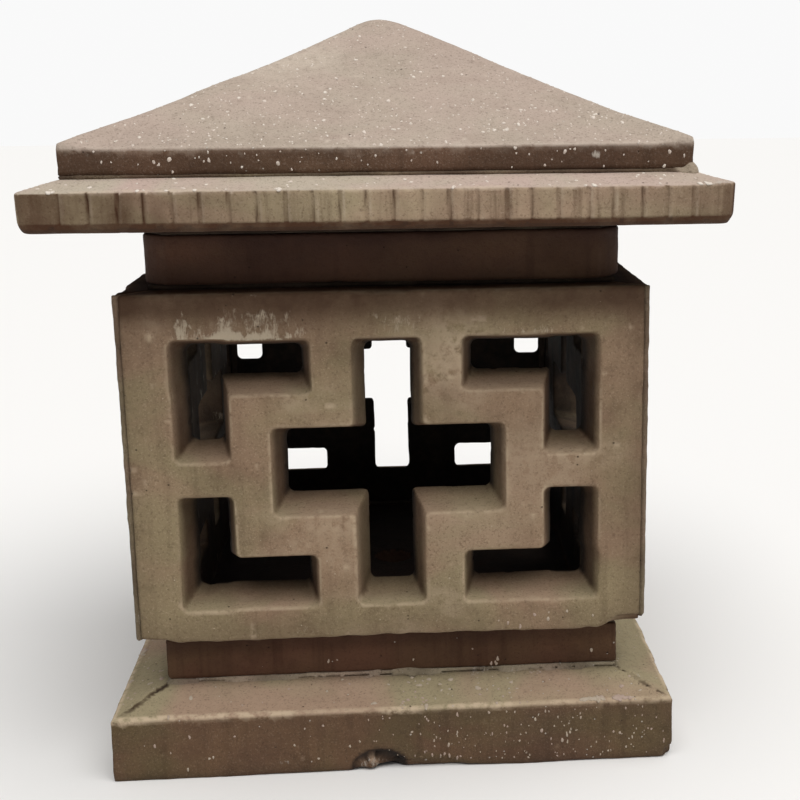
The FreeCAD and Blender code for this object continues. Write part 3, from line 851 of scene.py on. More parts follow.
def collar_shell(p, k, k_corner):
    ax, ay = np.abs(p[:, 0]), np.abs(p[:, 1])
    s = smax(ax - COLLAR_HALF, ay - COLLAR_HALF, 2.0)
    s = smax(s, (ax + ay - 2 * COLLAR_HALF + 20.0) * 0.7071, k_corner)
    inner = np.maximum(ax, ay) - 170.0
    s = smax(s, -inner, 2.0)
    s = smax(s, CO_LO[2] - p[:, 2], k)
    return smax(s, p[:, 2] - CO_HI[2], k)


def collar_plain(p):
    return collar_shell(p, 2.5, 8.0)


def collar_field(p, sharp=False):
    if sharp:
        return collar_shell(p, 0.3, 0.5)
    k = 3.0 + 1.2 * noise(p, 40.0, 120) + 4.0 * clip01(noise(p, 16.0, 121) * 1.8 - 0.8)
    s = collar_shell(p, k, 8.0)
    drag = 0.25 * noise(p, (90.0, 90.0, 5.0), 122)
    return s + rough(p, 40, 0.6) + drag


def build_collar():
    verts, faces = grid_solid(collar_plain, CO_LO, CO_HI, H_PLAIN)
    p = settle(collar_field, verts)
    n = unit_normals(collar_field, p)
    z = p[:, 2]
    A = base_attrs(p, n)
    A["wear_and_highlight"] = clip01(-collar_field(p, sharp=True) / 1.5 - 0.4) * 0.25
    # painted shade: the collar under the eave is painted dark, darker near its top and darkest inside
    A["grime_and_shade"] = clip01(0.56 + 0.4 * noise(p, (70.0, 70.0, 30.0), 123) + 0.3 * ramp(z, CO_HI[2] - 16.0, CO_HI[2] - 2.0))
    A["salt"] = 0.22 * clip01(noise(p, (24.0, 24.0, 60.0), 124) - 0.1) * ramp(-z, -CO_HI[2] + 8.0, -CO_LO[2] - 6.0)
    r = np.maximum(np.abs(p[:, 0]), np.abs(p[:, 1]))
    A["soot_and_shade"] = clip01(0.95 * ramp(-r, -178.0, -172.0) + 0.18)
    ob = make_object("collar_cast", p, faces, A, [M_PLINTH], FACES_PLAIN)
    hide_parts("collar")
    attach(ob, "roof")
    print("collar t", round(time.time() - T0, 1))


# eave slab
EAVE_HALF = EV_HI[0]
EZ_S, EZ_L, EZ0, EZ1, EZ_T = EV_LO[2], 513.0, 520.0, 546.5, EV_HI[2]
CAP_HALF = RC_HI[0]
FLUTE_PITCH = 22.9


def flute_lines():
    """Slightly uneven flute positions for each of the four sides."""
    out = []
    for side in range(4):
        rng = np.random.default_rng(400 + side)
        u = (np.arange(24) - 11.5) * FLUTE_PITCH + rng.uniform(-1.4, 1.4, 24)
        out.append((u, rng.uniform(0.75, 1.25, 24), rng.uniform(-0.045, 0.045, 24)))
    return out


FLUTES = flute_lines()


def eave_profile(p, k):
    """Signed distance of the smooth slab, from its outline and its profile."""
    ax, ay, z = np.abs(p[:, 0]), np.abs(p[:, 1]), p[:, 2]
    q = smax(ax, ay, 3.0)
    q = smax(q, (ax + ay) * 0.7071 - (2 * EAVE_HALF - 5.0) * 0.7071 + EAVE_HALF, 4.0)
    d = q - EAVE_HALF
    # the edge leans in a little towards its foot
    edge = d + 0.035 * (EZ1 - z)
    ledge = ((z - EZ1) * (EAVE_HALF - CAP_HALF) - (EZ_T - EZ1) * (EAVE_HALF - q)) / math.hypot(EAVE_HALF - CAP_HALF, EZ_T - EZ1)
    # one front corner is cast a little proud
    ledge = ledge - 1.2 * np.exp(-((p[:, 0] - 300.0) / 26.0) ** 2 - ((p[:, 1] + 300.0) / 26.0) ** 2)
    top = np.maximum(ledge, z - EZ_T)
    lip = ((EZ0 - z) * 0.447 + (q - (EAVE_HALF - 0.8)) * 0.894)
    lip = np.where(z < EZ0 + 4.0, lip, -5.0)
    soffit = (EZ_L - z) * 0.9951 - (296.5 - q) * 0.0998
    s = smax(edge, top, k)
    s = smax(s, lip, 2.0)
    s = smax(s, soffit, k)
    return smax(s, (d + (EZ0 + 3.0 - z)) * 0.7071 - 5.0, 4.0)


def eave_plain(p):
    s = eave_profile(p, 3.0)
    inner = np.maximum(np.abs(p[:, 0]), np.abs(p[:, 1])) - 170.0
    return smax(s, -inner, 2.0)


def flute_at(q):
    """Distance to the nearest flute line, which side of it, its strength and
    where the point is along its side of the slab."""
    n = len(q)
    dm, sgn, st, along = np.full(n, 99.0), np.zeros(n), np.ones(n), np.zeros(n)
    for side in range(4):
        a, b = ((-q[:, 1], q[:, 0]), (q[:, 0], q[:, 1]), (q[:, 1], -q[:, 0]), (-q[:, 0], -q[:, 1]))[side]
        j = np.nonzero(a >= np.abs(b))[0]
        if not len(j):
            continue
        zz = q[j, 2]
        lines, depth, tilt = FLUTES[side]
        uu = b[j] + 0.7 * noise(q[j], (9.0, 9.0, 14.0), 132)
        d = uu[:, None] - (lines[None, :] + tilt[None, :] * (zz - 533.0)[:, None])
        near = np.abs(d).argmin(1)
        sg = d[np.arange(len(j)), near]
        dm[j], sgn[j], st[j], along[j] = np.abs(sg), sg, depth[near], uu
    return dm, sgn, st, along


def eave_field(p, sharp=False):
    if sharp:
        return eave_profile(p, 0.3)
    x, y, z = p[:, 0], p[:, 1], p[:, 2]
    k = 2.0 + 0.6 * noise(p, 40.0, 130) + 3.0 * clip01(noise(p, 15.0, 131) * 1.8 - 0.9)
    relief = np.zeros(len(p))
    idx = np.nonzero((np.maximum(np.abs(x), np.abs(y)) > EAVE_HALF - 10.0) & (z > EZ0 - 4.0) & (z < EZ1 + 3.0))[0]
    if len(idx):
        q = p[idx]
        zz = q[:, 2]
        dm, sgn, st, along = flute_at(q)
        fade = ramp(zz, EZ0 - 1.0, EZ0 + 3.0) * ramp(-zz, -EZ1 + 0.2, -EZ1 + 3.2)
        inside = ramp(-np.abs(along), -280.0, -276.0)
        cut = 2.1 * st * np.exp(-(dm / 1.35) ** 2)
        bead = 0.9 * st * np.exp(-((sgn - 3.4) / 1.3) ** 2)
        crown = 0.7 * (1 - np.exp(-(dm / 7.0) ** 2)) + 0.45 * noise(q, (8.0, 8.0, 30.0), 134)
        relief[idx] = (cut - bead - crown * inside) * fade
    s = eave_profile(p, k) + relief
    inner = np.maximum(np.abs(x), np.abs(y)) - 170.0
    s = smax(s, -inner, 2.0)
    f = s + rough(p, 50, 0.5)
    # coarse scaling on the soffit and foot of the lip
    return f + 1.1 * clip01(noise(p, 8.0, 133) - 0.2) * ramp(-z, -EZ0 - 1.0, -EZ0 + 4.0)


def build_eave():
    verts, faces = grid_solid(eave_plain, EV_LO, EV_HI, H_EAVE)
    p = settle(eave_field, verts)
    n = unit_normals(eave_field, p)
    x, y, z = p[:, 0], p[:, 1], p[:, 2]
    r = np.maximum(np.abs(x), np.abs(y))
    A = base_attrs(p, n)
    dm, sgn, st, along = flute_at(p)
    on_face = (r > EAVE_HALF - 9.0) * (z > EZ0 - 1.0) * (z < EZ1 + 0.5) * (n[:, 2] < 0.6)
    # painted shade in the flute grooves and a painted highlight on the beads beside them
    groove_shade = ramp(-dm, -2.0, -0.7) * on_face * clip01(st)
    bead = ramp(-np.abs(sgn - 3.4), -1.9, -0.6) * on_face
    arr = ramp(-np.abs(z - EZ1), -3.0, -1.0) * (r > EAVE_HALF - 4.0)
    A["wear_and_highlight"] = clip01(0.75 * arr * clip01(0.5 + noise(p, 30.0, 140)) + 0.55 * bead * clip01(0.45 + noise(p, 22.0, 143)))
    A["top"] = ramp(n[:, 2], 0.4, 0.8) * (r > 200)
    # painted shade on the lip under the eave and inside the ring under the slab
    lip_shade = ramp(-z, -EZ0 - 1.5, -EZ0 + 1.5)
    # the left third and the end blocks are browner
    brown = ramp(-along, 20.0, 200.0) * 0.50 + ramp(np.abs(along), 250.0, 290.0) * 0.30
    A["grime_and_shade"] = clip01(1.05 * lip_shade + (0.55 * groove_shade + brown * on_face)
                        + 0.30 * clip01(noise(p, (12.0, 12.0, 50.0), 141) + 0.05) * on_face
                        + ramp(-r, -200.0, -175.0) * 0.6)
    A["salt"] = clip01(0.40 * clip01(noise(p, (60.0, 60.0, 9.0), 142) - 0.1) * (A["top"] > 0.5)
                       + 0.45 * clip01(noise(p, 12.0, 144) * 1.4 - 0.3) * ramp(-np.abs(z - EZ1 - 1.0), -4.0, -1.5) * (r > 290.0))
    # painted shade inside the ring and on faces turned down, partly soot
    A["soot_and_shade"] = clip01(0.9 * ramp(-r, -178.0, -172.0) + 0.35 * (n[:, 2] < -0.5))
    A["speck"] = clip01(0.14 * A["top"] + 0.02)
    ob = make_object("eave_slab_cast", p, faces, A, [M_EAVE], FACES_EAVE)
    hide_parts("eave_slab")
    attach(ob, "roof")
    print("eave t", round(time.time() - T0, 1))


# pyramid cap
CZ0, CZ_TOP = RC_LO[2], RC_HI[2]
CZ_E, CZ_A = 579.5, 699.5
C_SLOPE = (CZ_A - CZ_E) / CAP_HALF
C_COS = 1.0 / math.hypot(1.0, C_SLOPE)


def cap_shell(p, k, hip):
    ax, ay, z = np.abs(p[:, 0]), np.abs(p[:, 1]), p[:, 2]
    lean = 0.02 * (CZ_E - z) - 0.7
    s = smax(ax - CAP_HALF + lean, ay - CAP_HALF + lean, 2.0)
    # the hips were trowelled up a little towards the corners
    roll = 6.0 * np.exp(-((ax - ay) / 17.0) ** 2 - ((CAP_HALF - np.maximum(ax, ay)) / 42.0) ** 2)
    sx = (z - CZ_A + C_SLOPE * ax - roll) * C_COS
    sy = (z - CZ_A + C_SLOPE * ay - roll) * C_COS
    top = smax(sx, sy, hip)
    # the very top is rubbed round
    top = smax(top, z - CZ_TOP + 0.4, 7.0)
    s = smax(s, top, k)
    return smax(s, CZ0 - z, 0.8)


def cap_void(p):
    ax, ay, z = np.abs(p[:, 0]), np.abs(p[:, 1]), p[:, 2]
    r = np.maximum(ax, ay)
    s = smax(r - 190.0, (z - 562.0 - 190.0 * C_SLOPE + C_SLOPE * r) * C_COS, 6.0)
    return smax(s, z - 640.0, 6.0)


def cap_plain(p):
    return smax(cap_shell(p, 4.0, 7.0), -cap_void(p), 3.0)


def cap_field(p, sharp=False):
    if sharp:
        return cap_shell(p, 0.3, 0.5)
    z = p[:, 2]
    k = 1.4 + 0.6 * noise(p, 50.0, 150) + 4.0 * clip01(noise(p, 15.0, 151) * 1.8 - 0.95)
    hip = 4.5 + 2.0 * noise(p, 45.0, 152)
    s = smax(cap_shell(p, k, hip), -cap_void(p), 3.0)
    f = s + rough(p, 60, 0.85, 1.2)
    # long shallow float marks along the slopes, one sagging hip
    f = f + 0.55 * noise(p, (160.0, 160.0, 26.0), 153)
    sag = np.exp(-((p[:, 0] + 95.0) / 75.0) ** 2 - ((p[:, 1] + 95.0) / 75.0) ** 2) * (z > 590)
    f = f + 2.0 * sag
    return f + 1.2 * clip01((noise(p, 9.0, 154) - 0.7) * 5.0)


def build_cap():
    verts, faces = grid_solid(cap_plain, RC_LO, RC_HI, H_CAP)
    p = settle(cap_field, verts)
    n = unit_normals(cap_field, p)
    x, y, z = p[:, 0], p[:, 1], p[:, 2]
    r = np.maximum(np.abs(x), np.abs(y))
    A = base_attrs(p, n)
    A["wear_and_highlight"] = clip01(1.2 * clip01(-cap_field(p, sharp=True) / 1.1 - 0.25) * (z > CZ_E - 8.0) * (z < CZ_E + 6.0)
                       + 0.6 * clip01(-cap_field(p, sharp=True) / 1.4 - 0.6) * (z > CZ_E + 6.0))
    A["top"] = np.maximum(ramp(n[:, 2], 0.45, 0.8), ramp(z, CZ_E - 0.5, CZ_E + 1.5)) * (cap_void(p) > 6.0)
    line = ramp(-np.abs(z - CZ_E + 0.3), -2.4, -0.9) * (r > CAP_HALF - 5.0)
    A["wear_and_highlight"] = np.maximum(A["wear_and_highlight"], 0.8 * line * clip01(0.6 + 0.6 * noise(p, 34.0, 165)))
    # the upright edge is stained darker; the hollow is painted darker, a painted shade
    A["grime_and_shade"] = clip01((z < CZ_E - 2) * (0.30 + 0.4 * noise(p, (60.0, 60.0, 18.0), 160)) * (r > 240)
                        + 0.10 * clip01(noise(p, 55.0, 161) - 0.1) * A["top"] + (cap_void(p) < 4.0) * 0.7)
    low = ramp(-z, -640.0, -585.0)
    A["speck"] = clip01((0.16 + 0.42 * low) * clip01(0.75 + 0.6 * noise(p, 70.0, 162)) * (A["top"] > 0.3)
                        + 0.24 * (z < CZ_E) * clip01(0.5 + noise(p, 55.0, 163)) * (r > 240))
    patch = ramp(-np.hypot((x - 184.0) / 5.0, (z - 571.0) / 4.0), -1.2, -0.7) * (y < -255.0)
    A["salt"] = clip01(0.25 * clip01(noise(p, 40.0, 164) - 0.2) * (A["top"] > 0.5) + 0.8 * patch)
    # painted shade in the hollow, partly soot
    A["soot_and_shade"] = clip01((cap_void(p) < 4.0) * 0.9)
    ob = make_object("roof_cap_cast", p, faces, A, [M_CAP], FACES_CAP)
    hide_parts("roof_cap")
    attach(ob, "roof")
    print("cap t", round(time.time() - T0, 1))


# -------------------------------------------------------------- mortar beds
def build_bed(node, body, out_half, in_half, z0, z1, seed, squeeze, corner=0.0, cable=False,
              tone=0.4, h=2.5, salt=0.2, speck=0.1, soot_and_shade=0.0, fillet=None, top=0.0, faces_left=14000):
    """A ring of mortar with an uneven squeezed-out edge."""
    def plain(p, grow=0.0):
        ax, ay, z = np.abs(p[:, 0]), np.abs(p[:, 1]), p[:, 2]
        q = np.maximum(ax, ay)
        if corner:
            q = np.maximum(q, (ax + ay) * 0.7071 - (2 * out_half - corner) * 0.7071 + out_half)
        s = np.maximum(q - out_half, np.maximum(z0 - z, z - z1))
        if in_half > 0:
            s = np.maximum(s, in_half - q)
        if cable:
            s = np.maximum(s, -cable_field(p))
        if fillet:
            s = np.minimum(s, fillet(p, q))
        return s

    def field(p):
        ax, ay, z = np.abs(p[:, 0]), np.abs(p[:, 1]), p[:, 2]
        q = smax(ax, ay, 2.0)
        if corner:
            q = np.maximum(q, (ax + ay) * 0.7071 - (2 * out_half - corner) * 0.7071 + out_half)
        push = squeeze * clip01(noise(p, (22.0, 22.0, 60.0), seed) * 1.3 + 0.25) + 0.5 * noise(p, 5.0, seed + 1)
        s = smax(q - out_half - push, np.maximum(z0 - z, z - z1), 1.6)
        if in_half > 0:
            s = smax(s, in_half - q, 1.5)
        if cable:
            s = smax(s, -cable_field(p), 1.0)
        if fillet:
            s = smin(s, fillet(p, q) + 0.5 * noise(p, 6.0, seed + 4), 1.5)
        return s

    reach = 14.0 if fillet else 0.0
    verts, faces = grid_solid(plain, (-out_half - reach, -out_half - reach, z0 - (3.0 if fillet else 0.0)),
                              (out_half + reach, out_half + reach, z1 + reach), h)
    p = settle(field, verts, 3, 2.0)
    n = unit_normals(field, p)
    A = base_attrs(p, n)
    A["grime_and_shade"] = clip01(tone + 0.5 * noise(p, 30.0, seed + 2))
    A["salt"] = salt * clip01(noise(p, 18.0, seed + 3) + 0.3)
    A["speck"] = np.full(len(p), speck)
    A["soot_and_shade"] = np.full(len(p), soot_and_shade)
    A["top"] = np.full(len(p), top)
    if fillet is cap_foot:
        pale = ramp(cap_heap(p), 1.0, 3.0)
        A["grime_and_shade"] *= 1 - pale
        A["salt"] *= 0.3 + 0.7 * pale
        A["top"] = 0.85 * pale
    ob = make_object(node + "_mortar", p, faces, A, [M_MORTAR], faces_left)
    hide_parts(node)
    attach(ob, body)


def cap_heap(p):
    return 10.0 * np.exp(-(((p[:, 0] - 269.0) / 13.0) ** 2 + ((p[:, 1] + 258.0) / 26.0) ** 2)) * (0.9 + 0.25 * noise(p, 7.0, 248))


def cap_foot(p, q):
    """Mortar pointed along the foot of the cap, heaped at one front corner."""
    z = p[:, 2]
    ledge = EZ_T - (q - CAP_HALF) * (EZ_T - EZ1) / (EAVE_HALF - CAP_HALF)
    heap = cap_heap(p)
    size = -1.0 + 2.2 * clip01(noise(p, 12.0, 246) * 2.0 - 0.8) + 0.4 * noise(p, 9.0, 247) + heap
    face = (q - CAP_HALF) + (z - ledge) * 0.75 - size
    return np.maximum(np.maximum(face * 0.8, 263.0 - q), ledge - 1.5 - z)


def slab_foot(p, q):
    """Mortar lumps along the foot of the plinth."""
    z = p[:, 2]
    slope = SLAB_TOP - (q - NECK_HALF) * (SLAB_TOP - SLAB_EDGE) / (SLAB_HALF - NECK_HALF)
    lump = 4.5 * np.exp(-(((p[:, 0] - 0.0) / 30.0) ** 2)) * (p[:, 1] < 0) * clip01(0.3 + 1.2 * noise(p, 9.0, 206))
    size = 1.4 + 1.2 * noise(p, 24.0, 207) + 0.8 * noise(p, 8.0, 208) + lump
    face = (q - NECK_HALF) * 0.8 + (z - slope) * 1.0 - size
    return np.maximum(np.maximum(face * 0.8, NECK_HALF - 4.0 - q), slope - 1.5 - z)


def build_beds():
    build_bed("plinth_bed", "body", PB_HI[0], 0.0, PB_LO[2], PB_HI[2], 200, 2.0, cable=True,
              tone=0.10, salt=0.55, speck=0.3, fillet=slab_foot, top=0.5, faces_left=26000)
    # the body, top and eave beds are painted dark: painted shade in the joints between parts, partly dark mortar
    build_bed("body_bed", "body", BB_HI[0], BODY_HALF - PT, BB_LO[2], BB_HI[2], 210, 1.5, tone=0.8, salt=0.0, soot_and_shade=0.5)
    build_bed("top_bed", "body", TB_HI[0], BODY_HALF - PT + 2.0, TB_LO[2], TB_HI[2], 220, 3.0, tone=0.9, salt=0.05, soot_and_shade=0.55)
    build_bed("eave_bed", "roof", EB_HI[0], 170.0, EB_LO[2], EB_HI[2], 230, 1.0, corner=20.0, tone=0.9, salt=0.0, soot_and_shade=0.6)
    build_bed("cap_bed", "roof", CAP_HALF + 0.8, 190.0, CB_LO[2], CB_HI[2], 240, 1.2, tone=0.60, salt=0.12,
              fillet=cap_foot, top=0.1, faces_left=30000)
    print("beds t", round(time.time() - T0, 1))


# corner joints: the mortar in each mitre and its inside fillet
def build_corners():
    g = 3.0 / math.sqrt(2.0)
    bi = BODY_HALF - PT

    def plain(p):
        # the front left corner; across is the distance from the mitre plane
        x, y, z = p[:, 0], p[:, 1], p[:, 2]
        across = np.abs(x - y) * 0.7071
        along = -(x + y) * 0.7071
        out = BODY_HALF * 1.41421
        strip = np.maximum(across - 2.1, along - out + 0.6)
        strip = np.maximum(strip, bi * 1.41421 - 4.0 - along)
        fil = np.maximum(np.maximum(-bi - x, -bi - y), (x + y + 2 * bi - g - 6.0) * 0.7071)
        s = np.minimum(strip, fil)
        return np.maximum(s, np.maximum(PZ0 - z, z - PZ1))

    lo = (-BODY_HALF, -BODY_HALF, PZ0)
    hi = (-bi + 9.0, -bi + 9.0, PZ1)
    verts, faces = grid_solid(plain, lo, hi, 1.9)
    names = ["corner_joint_front_left", "corner_joint_front_right", "corner_joint_rear_right", "corner_joint_rear_left"]
    chipped = {0: 5.0, 1: 12.5, 2: 4.0, 3: 4.0}
    for turn, name in enumerate(names):
        def field(p):
            w_ = rot(p, turn)
            return smax(plain(p), PZ0 + chipped[turn] - p[:, 2], 2.0) + 0.35 * noise(w_, 13.0, 250) + 0.2 * noise(w_, 4.5, 251) + 0.3

        p = settle(field, verts.copy(), 3, 4.0)
        n = unit_normals(field, p)
        w_ = rot(p, turn)
        A = base_attrs(p, n)
        A["grime_and_shade"] = clip01(0.22 + 0.3 * noise(w_, 26.0, 252))
        # painted shade on the inner fillets, partly soot
        A["soot_and_shade"] = 0.8 * ramp(-np.maximum(np.abs(w_[:, 0]), np.abs(w_[:, 1])), -BODY_HALF + 20.0, -BODY_HALF + 40.0)
        A["salt"] = 0.4 * clip01(noise(w_, 20.0, 253))
        ob = make_object(name + "_mortar", w_, faces, A, [M_MORTAR], 9000)
        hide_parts(name)
        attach(ob, "body")
    print("corners t", round(time.time() - T0, 1))


# ------------------------------------------------------- splashes of lime
def droplets(name, body, pts, nrm, rad, tall, seed, run=0.0, mat=None):
    """One closed mesh of flattened drops, each sunk a little into the face;
    run stretches those on upright faces downwards."""
    rng = np.random.default_rng(seed)
    m, k = len(pts), 9
    up = np.tile((0.0, 0.0, 1.0), (m, 1))
    side = np.cross(up, nrm)
    flat = np.linalg.norm(side, axis=1) < 0.35
    turn = rng.uniform(0, 2 * np.pi, m)
    side[flat] = np.stack([np.cos(turn), np.sin(turn), 0 * turn], 1)[flat]
    side -= nrm * (side * nrm).sum(1)[:, None]
    side /= np.linalg.norm(side, axis=1)[:, None]
    along = np.cross(nrm, side)
    a = np.arange(k) * 2 * np.pi / k
    ph = rng.uniform(0, 2 * np.pi, (m, 3))
    amp = rng.uniform(0.05, 0.24, (m, 3))
    edge = 1.0 + sum(amp[:, i, None] * np.cos((i + 1) * a[None, :] + ph[:, i, None]) for i in range(3))
    long_ = 1.0 + np.where(flat, rng.uniform(0.0, 0.7, m), run * rng.uniform(0.0, 1.0, m) ** 2)
    cx = np.cos(a)[None, :] * edge * rad[:, None]
    cy = np.sin(a)[None, :] * edge * rad[:, None] * long_[:, None]
    rings = ((0.86, -0.7), (1.0, -0.05), (0.80, 0.62), (0.42, 0.94))
    vs = []
    for s_, hgt in rings:
        hh = np.where(hgt < 0, hgt, hgt * tall)
        vs.append(pts[:, None, :] + side[:, None, :] * (cx * s_)[..., None] + along[:, None, :] * (cy * s_)[..., None]
                  + nrm[:, None, :] * hh[:, None, None])
    vs.append((pts - nrm * 0.7)[:, None, :])
    vs.append((pts + nrm * tall[:, None])[:, None, :])
    V = np.concatenate(vs, 1)
    per = V.shape[1]
    f = []
    for i in range(k):
        j = (i + 1) % k
        for q in range(3):
            b0, b1 = q * k, (q + 1) * k
            f += [(b0 + i, b0 + j, b1 + j), (b0 + i, b1 + j, b1 + i)]
        f.append((3 * k + i, 3 * k + j, 4 * k + 1))
        f.append((j, i, 4 * k))
    F = (np.array(f)[None] + (np.arange(m) * per)[:, None, None]).reshape(-1, 3)
    ob = make_object(name, V.reshape(-1, 3), F, {}, [mat or M_LIME])
    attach(ob, body)
    return ob


def on_side(side, out, along, z):
    """A point on one of the four upright sides."""
    xy = ((along, -out), (out, along), (-along, out), (-out, -along))[side]
    return (xy[0], xy[1], z)


def scatter_roof():
    rng = np.random.default_rng(77)
    pts, rad = [], []
    while len(pts) < 2300:
        x, y = rng.uniform(-266, 266, 2)
        r = max(abs(x), abs(y))
        if rng.uniform() < 0.25 + 0.75 * (r / 266.0) ** 1.6:
            pts.append((x, y, CZ_A - C_SLOPE * r + 0.3))
            rad.append(rng.uniform(0.5, 1.15) if rng.uniform() < 0.91 else rng.uniform(1.2, 2.2))
    for side in range(4):
        centres = rng.uniform(-240, 240, 9)
        for _ in range(54):
            u = rng.choice(centres) + rng.normal(0, 24.0) if rng.uniform() < 0.6 else rng.uniform(-262, 262)
            if abs(u) < 262:
                pts.append(on_side(side, CAP_HALF, u, rng.uniform(560.0, 578.0)))
                rad.append(rng.uniform(0.5, 1.0) if rng.uniform() < 0.85 else rng.uniform(1.0, 1.7))
    p = settle(cap_field, np.array(pts, float), 5, 3.0)
    n = unit_normals(cap_field, p)
    rad = np.array(rad)
    droplets("roof_cap_splashes", "roof", p, n, rad, 0.25 + 0.22 * rad, 78, run=0.8, mat=M_LIME_ROOF)
    pts, rad = [], []
    for side in range(4):
        for _ in range(46):
            d = rng.uniform(2.0, 30.0)
            pts.append(on_side(side, EAVE_HALF - d, rng.uniform(-285, 285), EZ1 + d * (EZ_T - EZ1) / (EAVE_HALF - CAP_HALF)))
            rad.append(rng.uniform(0.7, 1.7))
        for _ in range(12):
            pts.append(on_side(side, EAVE_HALF - 2.5, rng.uniform(-285, 285), EZ1 + 1.0))
            rad.append(rng.uniform(1.4, 2.8))
    p = settle(eave_field, np.array(pts, float), 5, 3.0)
    n = unit_normals(eave_field, p)
    rad = np.array(rad)
    droplets("eave_splashes", "roof", p, n, rad, 0.22 + 0.2 * rad, 79, mat=M_LIME_ROOF)
    print("roof splashes t", round(time.time() - T0, 1))


def scatter_slab():
    rng = np.random.default_rng(88)
    pts, rad = [], []
    for side in range(4):
        centres = (np.array([90.0, 150.0, 185.0, 215.0, 40.0, 235.0]) + rng.normal(0, 8, 6)) if side == 0 else rng.uniform(-240, 240, 6)
        count = 150 if side == 0 else 95
        for _ in range(count):
            if rng.uniform() < 0.6:
                u = rng.choice(centres) + rng.normal(0, 22.0)
            else:
                u = rng.uniform(-30, 256) if side == 0 else rng.uniform(-256, 256)
            if abs(u) < 258:
                pts.append(on_side(side, SLAB_HALF, u, rng.uniform(5.0, 55.0)))
                rad.append(rng.uniform(0.4, 0.85) if rng.uniform() < 0.86 else rng.uniform(0.9, 1.45))
        for _ in range(18):
            pts.append(on_side(side, SLAB_HALF, rng.uniform(-256, 60), rng.uniform(6.0, 55.0)))
            rad.append(rng.uniform(0.6, 1.3))
        # the slope behind it
        for _ in range(80):
            d = rng.uniform(3.0, 44.0)
            u = rng.uniform(-225, 245) if rng.uniform() < 0.45 else abs(rng.normal(60, 90))
            if abs(u) < SLAB_HALF - d:
                pts.append(on_side(side, SLAB_HALF - d, u, SLAB_EDGE + d * (SLAB_TOP - SLAB_EDGE) / (SLAB_HALF - NECK_HALF)))
                rad.append(rng.uniform(0.6, 1.3) if rng.uniform() < 0.75 else rng.uniform(1.3, 2.4))
    p = settle(slab_field, np.array(pts, float), 5, 3.0)
    n = unit_normals(slab_field, p)
    rad = np.array(rad)
    droplets("ground_slab_splashes", "body", p, n, rad, 0.22 + 0.22 * rad, 89, run=1.6)
    # longer smears of mortar along the arris
    pts, rad = [], []
    for side in range(4):
        spots = rng.uniform(120, 240, 7) if side == 0 else rng.uniform(-240, 240, 6)
        for u in spots:
            for i in range(rng.integers(2, 5)):
                pts.append(on_side(side, SLAB_HALF - 4.5 + rng.normal(0, 0.8), u + i * 3.1 + rng.normal(0, 0.8), SLAB_EDGE + 1.5))
                rad.append(rng.uniform(1.9, 3.3))
    p = settle(slab_field, np.array(pts, float), 5, 3.0)
    n = unit_normals(slab_field, p)
    rad = np.array(rad)
    droplets("ground_slab_smears", "body", p, n, rad, 0.3 + 0.14 * rad, 90)
    print("slab splashes t", round(time.time() - T0, 1))


def scatter_body():
    """A few splashes low on the panels and on the plinth."""
    rng = np.random.default_rng(99)
    for turn, name in enumerate(("front_panel", "right_panel", "rear_panel", "left_panel")):
        f = make_panel_field(turn, 5.0, 5.0)
        pts, rad = [], []
        while len(pts) < 8:
            u, v = rng.uniform(60, 205), rng.uniform(5.0, 26.0)
            if rng.uniform() < 0.45:
                u, v = rng.uniform(-215, 215), rng.uniform(30, 320)
            q = np.array([[u, -BODY_HALF, PZ0 + v]])
            if panel_openings(q[:, 0], q[:, 2] - PZ0, np.zeros(1))[0] > 5.0:
                pts.append((u, -BODY_HALF, PZ0 + v))
                rad.append(rng.uniform(0.6, 1.4))
        p = settle(f, np.array(pts, float), 5, 3.0)
        n = unit_normals(f, p)
        rad = np.array(rad)
        droplets(name + "_splashes", "body", rot(p, turn), rot(n, turn), rad, 0.22 + 0.22 * rad, 100 + turn, run=1.7)
    pts, rad = [], []
    for side in range(4):
        for _ in range(10):
            u = 88.0 + rng.normal(0, 9.0) if side == 0 and rng.uniform() < 0.6 else rng.uniform(-205, 205)
            pts.append(on_side(side, NECK_HALF, u, rng.uniform(82.0, 100.0)))
            rad.append(rng.uniform(0.7, 1.5))
    p = settle(plinth_field, np.array(pts, float), 5, 3.0)
    n = unit_normals(plinth_field, p)
    rad = np.array(rad)
    droplets("plinth_splashes", "body", p, n, rad, 0.22 + 0.2 * rad, 105, run=1.5)
    print("body splashes t", round(time.time() - T0, 1))


# ------------------------------------------------------------------- build
H_PANEL = 2.4
H_SLAB = 3.0
H_PLAIN = 2.8
H_EAVE = 1.8
H_CAP = 3.0
FACES_PANEL, FACES_SLAB, FACES_PLAIN, FACES_EAVE, FACES_CAP = 90000, 90000, 36000, 165000, 80000

build_panels()
build_slab()
build_plinth()
build_collar()
build_eave()
build_cap()
build_beds()
build_corners()
scatter_roof()
scatter_slab()
scatter_body()


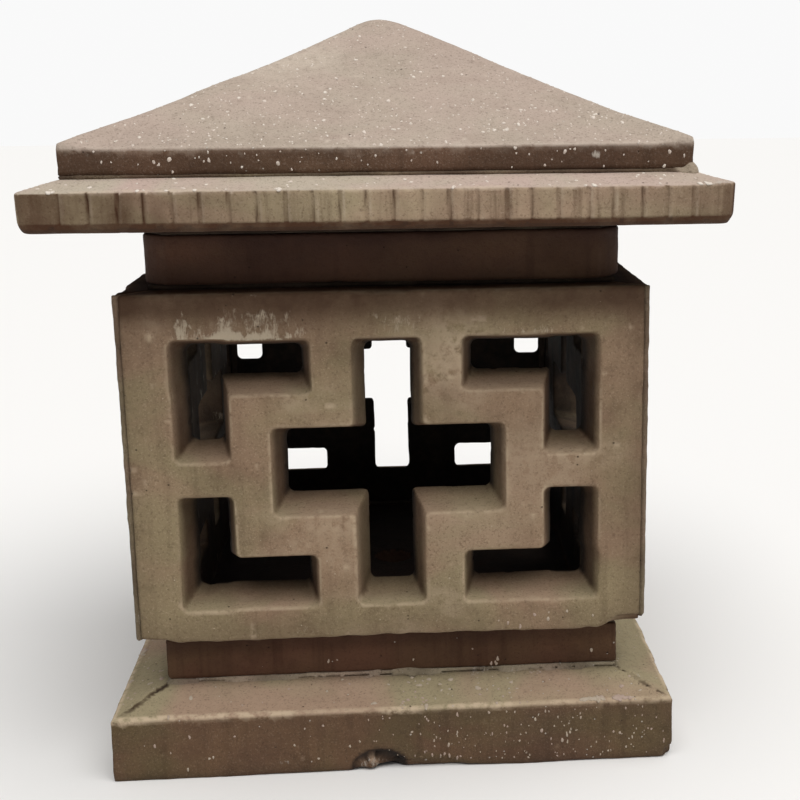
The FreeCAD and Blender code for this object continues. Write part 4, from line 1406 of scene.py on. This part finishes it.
# ------------------------------------------------------- floor and lighting
def make_stage():
    me = bpy.data.meshes.new("floor")
    s = 14.0
    me.from_pydata([(-s, -s, -0.0002), (s, -s, -0.0002), (s, s, -0.0002), (-s, s, -0.0002)], [], [(0, 1, 2, 3)])
    ob = bpy.data.objects.new("floor", me)
    scene.collection.objects.link(ob)
    m = bpy.data.materials.new("floor_pale")
    nt = nodes_of(m)
    b = nt.nodes.new("ShaderNodeBsdfPrincipled")
    b.inputs["Base Color"].default_value = (0.86, 0.855, 0.845, 1)
    b.inputs["Roughness"].default_value = 0.9
    b.inputs["Specular IOR Level"].default_value = 0.2
    o = nt.nodes.new("ShaderNodeOutputMaterial")
    nt.links.new(b.outputs[0], o.inputs[0])
    me.materials.append(m)
    ob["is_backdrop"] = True


def make_light():
    world = bpy.data.worlds.new("studio")
    scene.world = world
    world.use_nodes = True
    nt = world.node_tree
    nt.nodes.clear()
    out = nt.nodes.new("ShaderNodeOutputWorld")
    mixn = nt.nodes.new("ShaderNodeMixShader")
    path = nt.nodes.new("ShaderNodeLightPath")
    seen = nt.nodes.new("ShaderNodeBackground")
    seen.inputs[0].default_value = (0.95, 0.95, 0.95, 1)
    seen.inputs[1].default_value = 1.0
    amb = nt.nodes.new("ShaderNodeBackground")
    amb.inputs[0].default_value = (0.95, 0.97, 1.0, 1)
    amb.inputs[1].default_value = 0.20
    nt.links.new(path.outputs["Is Camera Ray"], mixn.inputs[0])
    nt.links.new(amb.outputs[0], mixn.inputs[1])
    nt.links.new(seen.outputs[0], mixn.inputs[2])
    nt.links.new(mixn.outputs[0], out.inputs[0])
    # one very soft light, high, in front and to the right
    d = bpy.data.lights.new("softbox", "SUN")
    d.energy = 3.15
    d.angle = math.radians(70.0)
    d.color = (1.0, 0.985, 0.965)
    o = bpy.data.objects.new("softbox", d)
    tilt, turn = math.radians(18.0), math.radians(30.0)
    v = Vector((math.sin(tilt) * math.sin(turn), -math.sin(tilt) * math.cos(turn), math.cos(tilt)))
    o.rotation_mode = "QUATERNION"
    o.rotation_quaternion = v.to_track_quat("Z", "Y")
    o.location = v * 3.0
    scene.collection.objects.link(o)


make_stage()
make_light()
scene.view_settings.view_transform = "Standard"
scene.view_settings.look = "None"
scene.view_settings.exposure = 0.0

NEW_BOX = [list(v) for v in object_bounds()]
print("built in", round(time.time() - T0, 1), "s; box", [[round(c, 4) for c in v] for v in NEW_BOX])
